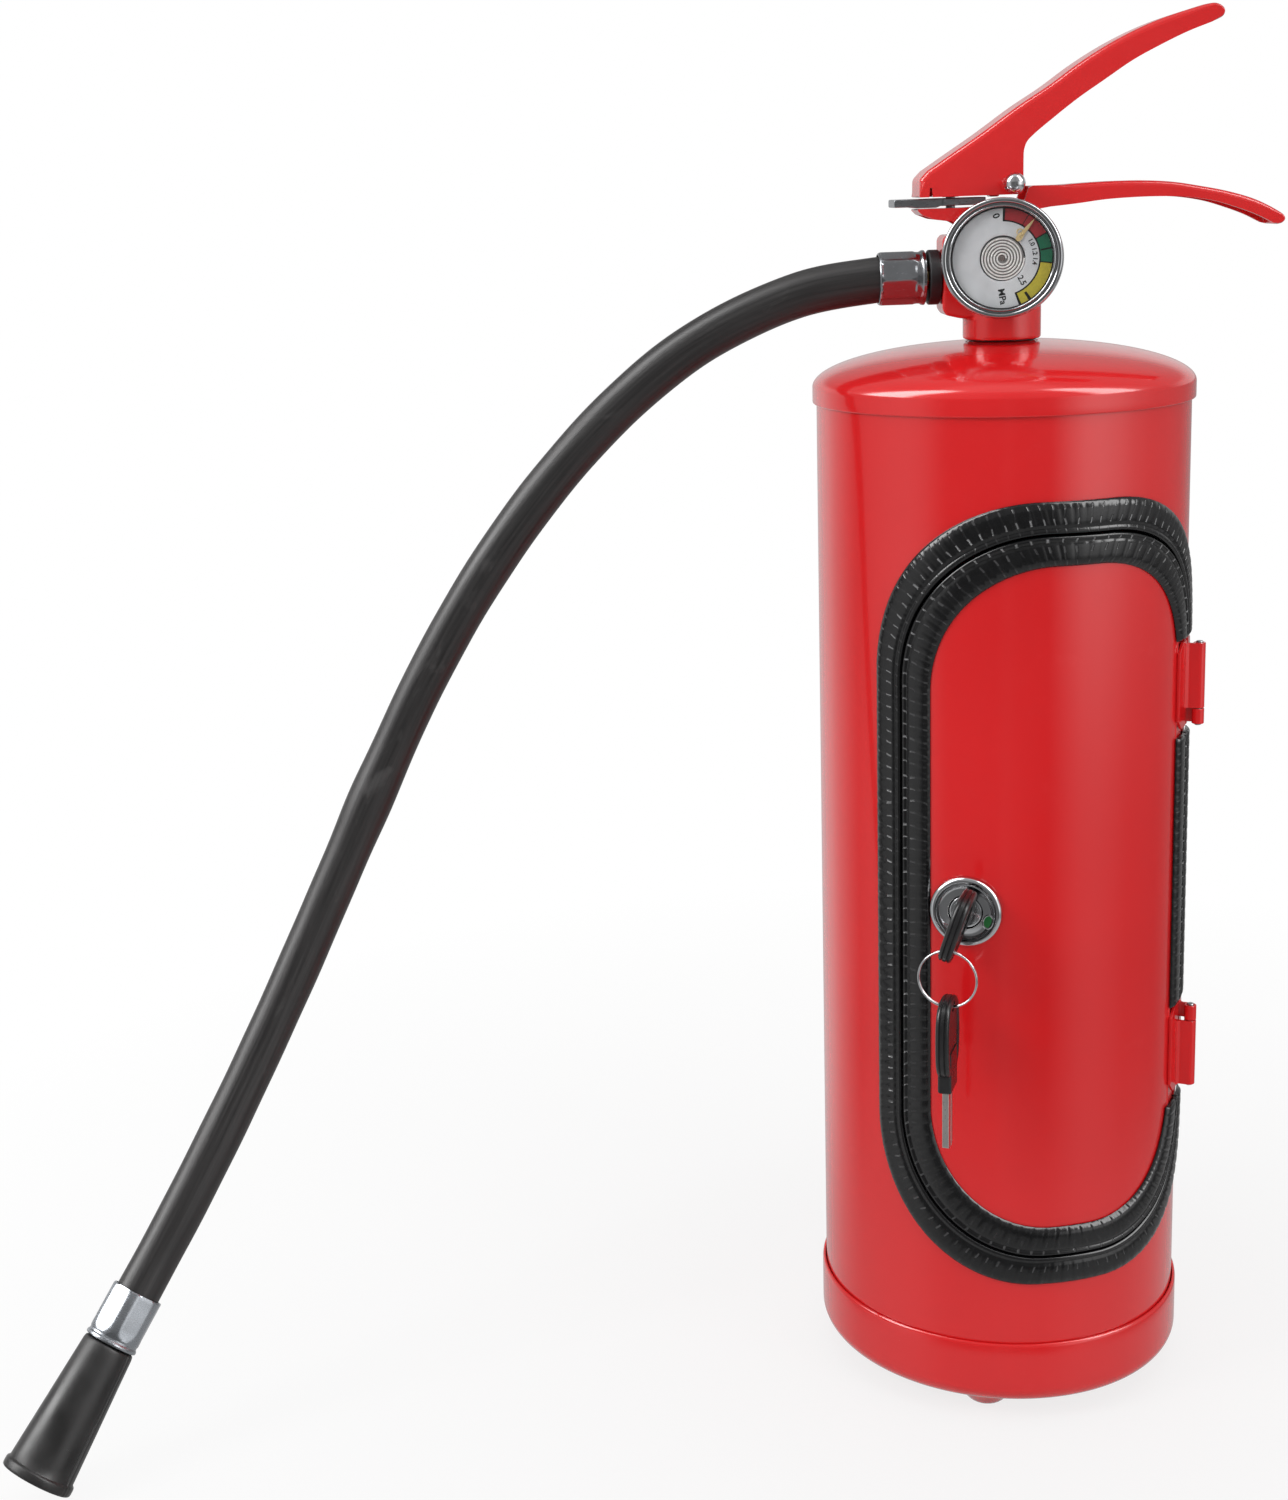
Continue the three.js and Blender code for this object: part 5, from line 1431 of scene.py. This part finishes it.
# upper ferrule: round flange, then an eight-sided crimp
rows = [circ(8.35, 27.25), circ(9.2, 27.2), circ(9.45, 27.35), circ(9.5, 27.7), circ(9.45, 28.3), circ(9.1, 28.8), circ(8.95, 29.3), circ(8.95, 30.0), circ(9.0, 30.6)]
rows += [crimp(8.62, 9.22, 8, z, 0.39) for z in (31.2, 33, 36, 39, 41.6)]
rows += [crimp(8.62, 9.22, 8, 42.2, 0.39), circ(9.15, 42.7), circ(9.0, 43.1), circ(8.75, 43.35), circ(8.35, 43.35)]
v, f = loft(rows, close_u=True, caps=False)
v = np.stack([v[:, 0], v[:, 1], v[:, 2]], 1)
piece("hose_sleeve_upper", (v, f), M["ferrule"], "root", "upper_ferrule", angle=22, at=PF)

# lower ferrule: six-sided crimp with a rolled lower lip
TF = frame_along(tail, end_dir)
rows = [circ(8.4, -19), crimp(8.95, 9.2, 6, -19.0, 0.25), crimp(9.05, 9.55, 6, -18.6, 0.25)]
for z in (-17.5, -14, -10, -7.0):
    rows.append(crimp(9.02, 9.68, 6, z, 0.25))
rows += [crimp(9.02, 9.62, 6, -5.2, 0.25), crimp(9.15, 9.5, 6, -4.0, 0.25), circ(9.3, -2.9), circ(9.05, -2.2), circ(9.1, -1.6), circ(9.5, -1.1), circ(9.6, -0.6), circ(9.5, -0.1), circ(9.1, 0.15), circ(8.4, 0.15)]
v, f = loft(rows, close_u=True, caps=False)
piece("hose_sleeve_lower", (v, f), M["zinc"], "root", "lower_ferrule", angle=22, at=TF)

nl = float(np.linalg.norm(mouth - tail))
nz = [(0.0, -12), (4.0, -12), (4.2, -11.8), (4.2, 0.35), (4.4, 0.6), (8.6, 0.6), (9.05, 0.8), (9.25, 1.3), (9.42, 2.2)]
nz += [(9.42 + (12.1 - 9.42) * t_, 2.2 + (nl - 4.0 - 2.2) * t_) for t_ in np.linspace(0.08, 1, 14)]
nz += [(12.3, nl - 3.7), (12.75, nl - 3.35), (12.95, nl - 2.9), (13.0, nl - 2.2), (13.0, nl - 0.9), (12.85, nl - 0.3), (12.5, nl), (10.6, nl), (10.2, nl - 0.25), (10.05, nl - 0.8)]
nz += [(10.05 - 7.0 * t_, nl - 0.8 - (nl - 8.8) * t_) for t_ in np.linspace(0.08, 1, 10)]
nz += [(2.4, 4.0), (2.4, -10), (0.0, -10.0)]
NS = 144
v, f = lathe(nz, NS)
# mould parting line: a thin raised rib down both sides
prof_n = len(nz)
out = v.copy()
az = np.arctan2(v[:, 1], v[:, 0])
rad_now = np.hypot(v[:, 0], v[:, 1])
view = np.array([-134.223, -761.219, 429.650]) - tail
side_v = np.cross(TF[3], view)
side_v /= np.linalg.norm(side_v)
if side_v[0] < 0:
    side_v = -side_v
front_v = np.cross(side_v, TF[3])
front_v *= np.sign(front_v @ view)
aim = side_v * math.sin(math.radians(58)) + front_v / np.linalg.norm(front_v) * math.cos(math.radians(58))
part_a = math.atan2(float(aim @ TF[2]), float(aim @ TF[1]))
for a0 in (part_a, part_a - pi):
    d = (az - a0 + pi) % (2 * pi) - pi
    w = np.exp(-((d * rad_now / 0.34) ** 2)) * 0.3 - 0.16 * np.exp(-(((np.abs(d) * rad_now - 0.75) / 0.3) ** 2))
    on = (rad_now > 8.5) & (v[:, 2] > 0.5) & (v[:, 2] < nl - 0.2)
    scale_ = np.where(on, (rad_now + w) / np.maximum(rad_now, 1e-6), 1.0)
    limit = np.where(rad_now * scale_ > 13.0, 13.0 / np.maximum(rad_now, 1e-6), scale_)
    out[:, 0] = np.where(on, out[:, 0] * limit, out[:, 0])
    out[:, 1] = np.where(on, out[:, 1] * limit, out[:, 1])
piece("discharge_horn", (out, f), M["nozzle"], "root", "nozzle", angle=45, at=TF)

# ------------------------------------------------------------------ any CAD node still showing gets a real material too
left_over = {"default": M["steel"]}
for name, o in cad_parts.items():
    if not o.hide_render:
        o.data.materials.clear()
        o.data.materials.append(left_over["default"])
        smooth(o, 30)

# ------------------------------------------------------------------ stage: pale floor, studio light, camera
floor_z = -6.6
fv, ff = [], []
nf_ = 48
for i in range(nf_ + 1):
    for j in range(nf_ + 1):
        fv.append(((i / nf_ - 0.5) * 9000, (j / nf_ - 0.5) * 9000, floor_z))
for i in range(nf_):
    for j in range(nf_):
        a_ = i * (nf_ + 1) + j
        ff.append([a_, a_ + nf_ + 1, a_ + nf_ + 2, a_ + 1])
floor = link("floor", new_mesh("floor", fv, ff, fix=False))
fm = Nodes("pale_floor")
fm.to(fm.mix(fm.rng(fm.noise(3.0, 2), 0, 1, 0.3, 0.7), (0.62, 0.62, 0.62), (0.66, 0.66, 0.66)), "Base Color")
fm.set(Roughness=0.7)
fm.p.inputs["Specular IOR Level"].default_value = 0.1
glow = fm.new("ShaderNodeEmission")
glow.inputs[0].default_value = (1, 1, 1, 1)
glow.inputs[1].default_value = 1.0
path_n = fm.new("ShaderNodeLightPath")
mixf = fm.new("ShaderNodeMixShader")
reach = fm.new("ShaderNodeVectorMath", operation="LENGTH")
fm.link(fm.coord.outputs["Object"], reach.inputs[0])
far_white = fm.rng(reach.outputs["Value"], 0.80, 1.0, 0.12, 0.55)
fm.link(fm.math("MULTIPLY", path_n.outputs["Is Camera Ray"], far_white), mixf.inputs[0])
fm.link(fm.p.outputs[0], mixf.inputs[1])
fm.link(glow.outputs[0], mixf.inputs[2])
unseen = fm.new("ShaderNodeBsdfTransparent")
mixg = fm.new("ShaderNodeMixShader")
fm.link(path_n.outputs["Is Glossy Ray"], mixg.inputs[0])
fm.link(mixf.outputs[0], mixg.inputs[1])
fm.link(unseen.outputs[0], mixg.inputs[2])
fm.link(mixg.outputs[0], fm.out.inputs[0])
floor.data.materials.append(fm.mat)

world = bpy.data.worlds.new("studio")
scene.world = world
world.use_nodes = True
wt = world.node_tree
wt.nodes.clear()
w_out = wt.nodes.new("ShaderNodeOutputWorld")
bg_cam = wt.nodes.new("ShaderNodeBackground")
bg_cam.inputs[0].default_value = (1, 1, 1, 1)
bg_cam.inputs[1].default_value = 1.0
bg_soft = wt.nodes.new("ShaderNodeBackground")
bg_soft.inputs[0].default_value = (1.0, 1.0, 1.0, 1)
bg_soft.inputs[1].default_value = 0.80
bg_env = wt.nodes.new("ShaderNodeBackground")
tc = wt.nodes.new("ShaderNodeTexCoord")
sep = wt.nodes.new("ShaderNodeSeparateXYZ")
wt.links.new(tc.outputs["Generated"], sep.inputs[0])


def wmath(op, a, b=None):
    n = wt.nodes.new("ShaderNodeMath")
    n.operation = op
    for i, v in enumerate((a, b)):
        if v is None:
            continue
        if isinstance(v, (int, float)):
            n.inputs[i].default_value = v
        else:
            wt.links.new(v, n.inputs[i])
    return n.outputs[0]


def wramp(fac, stops, interp="LINEAR"):
    n = wt.nodes.new("ShaderNodeValToRGB")
    n.color_ramp.interpolation = interp
    e = n.color_ramp.elements
    while len(e) < len(stops):
        e.new(0.5)
    for el_, (p, v) in zip(e, stops):
        el_.position = p
        el_.color = (v, v, v, 1)
    wt.links.new(fac, n.inputs[0])
    return n.outputs[0]


# what the shiny parts mirror: soft panels by compass direction (0 is straight in front), scaled by 1/10 to fit a ramp
turn = wmath("ARCTAN2", sep.outputs[0], wmath("MULTIPLY", sep.outputs[1], -1.0))
turn = wmath("ADD", wmath("MULTIPLY", turn, 1 / (2 * pi)), 0.5)
LOW = [(-180, 0.55), (-160, 0.7), (-145, 0.8), (-126, 0.55), (-110, 0.24), (-96, 0.42), (-80, 0.62), (-68, 0.7), (-58, 0.6), (-48, 0.3), (-42, 0.16), (-12, 0.13), (-6, 0.2), (0, 0.14),
       (20, 0.18), (26, 0.5), (34, 1.0), (42, 1.45), (52, 1.5), (64, 1.15), (76, 0.68), (90, 0.4), (105, 0.3), (125, 0.22), (150, 0.3), (180, 0.55)]
low = wramp(turn, [((a_ + 180) / 360, v / 10) for a_, v in LOW])
HIGH = [(-180, 0.32), (-140, 0.32), (-118, 0.4), (-106, 0.8), (-98, 9.5), (-73, 9.5), (-65, 0.5), (0, 0.28), (46, 0.45), (54, 7.0), (76, 7.0), (84, 0.8), (100, 0.4), (140, 0.3), (180, 0.32)]
LOW_B = [(a_, v * (1.0 if a_ < 15 or a_ > 110 else 0.30 + 0.12 * (a_ > 80))) for a_, v in LOW]
low_b = wramp(turn, [((a_ + 180) / 360, v / 10) for a_, v in LOW_B])
high = wramp(turn, [((a_ + 180) / 360, v / 10) for a_, v in HIGH])
height = wmath("MULTIPLY", wmath("ARCSINE", sep.outputs[2]), 180 / pi)


def wrange(v, lo, hi, a=0.0, b=1.0):
    n = wt.nodes.new("ShaderNodeMapRange")
    n.interpolation_type = "SMOOTHSTEP"
    n.inputs["From Min"].default_value, n.inputs["From Max"].default_value = lo, hi
    n.inputs["To Min"].default_value, n.inputs["To Max"].default_value = a, b
    wt.links.new(v, n.inputs["Value"])
    return n.outputs[0]


def wmix(fac, a, b):
    n = wt.nodes.new("ShaderNodeMix")
    n.data_type = "RGBA"
    wt.links.new(fac, n.inputs[0])
    for i, v in ((6, a), (7, b)):
        if isinstance(v, float):
            n.inputs[i].default_value = (v, v, v, 1)
        else:
            wt.links.new(v, n.inputs[i])
    return n.outputs[2]


low_c = wramp(turn, [((a_ + 180) / 360, (max(v, 0.66) if abs(a_) > 118 else v) / 10) for a_, v in LOW])
low = wmix(wrange(height, -19.0, -5.0), low_b, low)
low = wmix(wrange(height, 0.0, 2.5), low, low_c)
seen = wmix(wrange(height, 13.0, 21.0), low, high)
seen = wmix(wrange(height, 66.0, 78.0), seen, 0.07)
ground = wrange(height, -27.5, -22.5, 1.0, 0.0)
seen = wmix(wmath("MULTIPLY", ground, 0.8), seen, 0.052)
wt.links.new(seen, bg_env.inputs[0])
bg_env.inputs[1].default_value = 10.0
lp = wt.nodes.new("ShaderNodeLightPath")
wg = wt.nodes.new("ShaderNodeMixShader")
wm = wt.nodes.new("ShaderNodeMixShader")
wt.links.new(lp.outputs["Is Glossy Ray"], wg.inputs[0])
wt.links.new(bg_soft.outputs[0], wg.inputs[1])
wt.links.new(bg_env.outputs[0], wg.inputs[2])
wt.links.new(lp.outputs["Is Camera Ray"], wm.inputs[0])
wt.links.new(wg.outputs[0], wm.inputs[1])
wt.links.new(bg_cam.outputs[0], wm.inputs[2])
wt.links.new(wm.outputs[0], w_out.inputs[0])

cam_loc = Vector((-134.223, -761.219, 429.650)) * MM


def softbox(name, loc, target, sx, sy, power, colour=(1, 1, 1)):
    li = bpy.data.lights.new(name, "AREA")
    li.shape, li.size, li.size_y, li.energy, li.color = "RECTANGLE", sx, sy, power, colour
    o = bpy.data.objects.new(name, li)
    scene.collection.objects.link(o)
    o.location = loc
    o.rotation_euler = (Vector(target) - Vector(loc)).to_track_quat("-Z", "Y").to_euler()
    return o


key_l = softbox("key_left", (-1.0, -0.52, 0.95), (0, 0, 0.25), 0.4, 0.34, 4.4)
key_l.visible_glossy = False
key_r = softbox("key_right", (0.82, -0.88, 1.0), (0, 0, 0.25), 0.5, 0.34, 2.6)
key_r.visible_glossy = False
top_l = softbox("top", (0.0, -0.35, 1.5), (0, 0, 0.2), 1.0, 0.6, 2.0)
top_l.visible_glossy = False
rim = softbox("back", (0.2, 1.2, 0.9), (0, 0, 0.2), 1.4, 1.0, 3.0)
rim.visible_glossy = False

# camera: fitted view, in the CAD frame
yaw, pitch, roll = -0.1996946966, 0.2083600641, -0.0360273349
F_PX, CX, CY = 2138.330354, 576.7053284, 647.0731328
fwd = np.array([math.sin(yaw) * math.cos(pitch), math.cos(yaw) * math.cos(pitch), -math.sin(pitch)])
right = np.array([math.cos(yaw), -math.sin(yaw), 0.0])
up_ = np.cross(right, fwd)
r2 = math.cos(roll) * right + math.sin(roll) * up_
u2 = -math.sin(roll) * right + math.cos(roll) * up_
ca, sa = math.cos(math.radians(10)), math.sin(math.radians(10))


def fit_to_cad(p):
    return np.array([p[0] * ca + p[1] * sa, -p[0] * sa + p[1] * ca, p[2]])


r2, u2, fwd = fit_to_cad(r2), fit_to_cad(u2), fit_to_cad(fwd)
cam_data = bpy.data.cameras.new("camera")
cam = bpy.data.objects.new("camera", cam_data)
scene.collection.objects.link(cam)
rot = Matrix(((r2[0], u2[0], -fwd[0]), (r2[1], u2[1], -fwd[1]), (r2[2], u2[2], -fwd[2]))).to_4x4()
cam.matrix_world = Matrix.Translation(cam_loc) @ rot
cam_data.sensor_fit = "AUTO"
cam_data.sensor_width = 36.0
cam_data.lens = F_PX / 1500 * 36.0
cam_data.shift_x = (644 - CX) / 1500
cam_data.shift_y = (CY - 750) / 1500
cam_data.clip_start, cam_data.clip_end = 0.02, 50
scene.camera = cam
scene.view_settings.view_transform = "Standard"
scene.view_settings.look = "None"
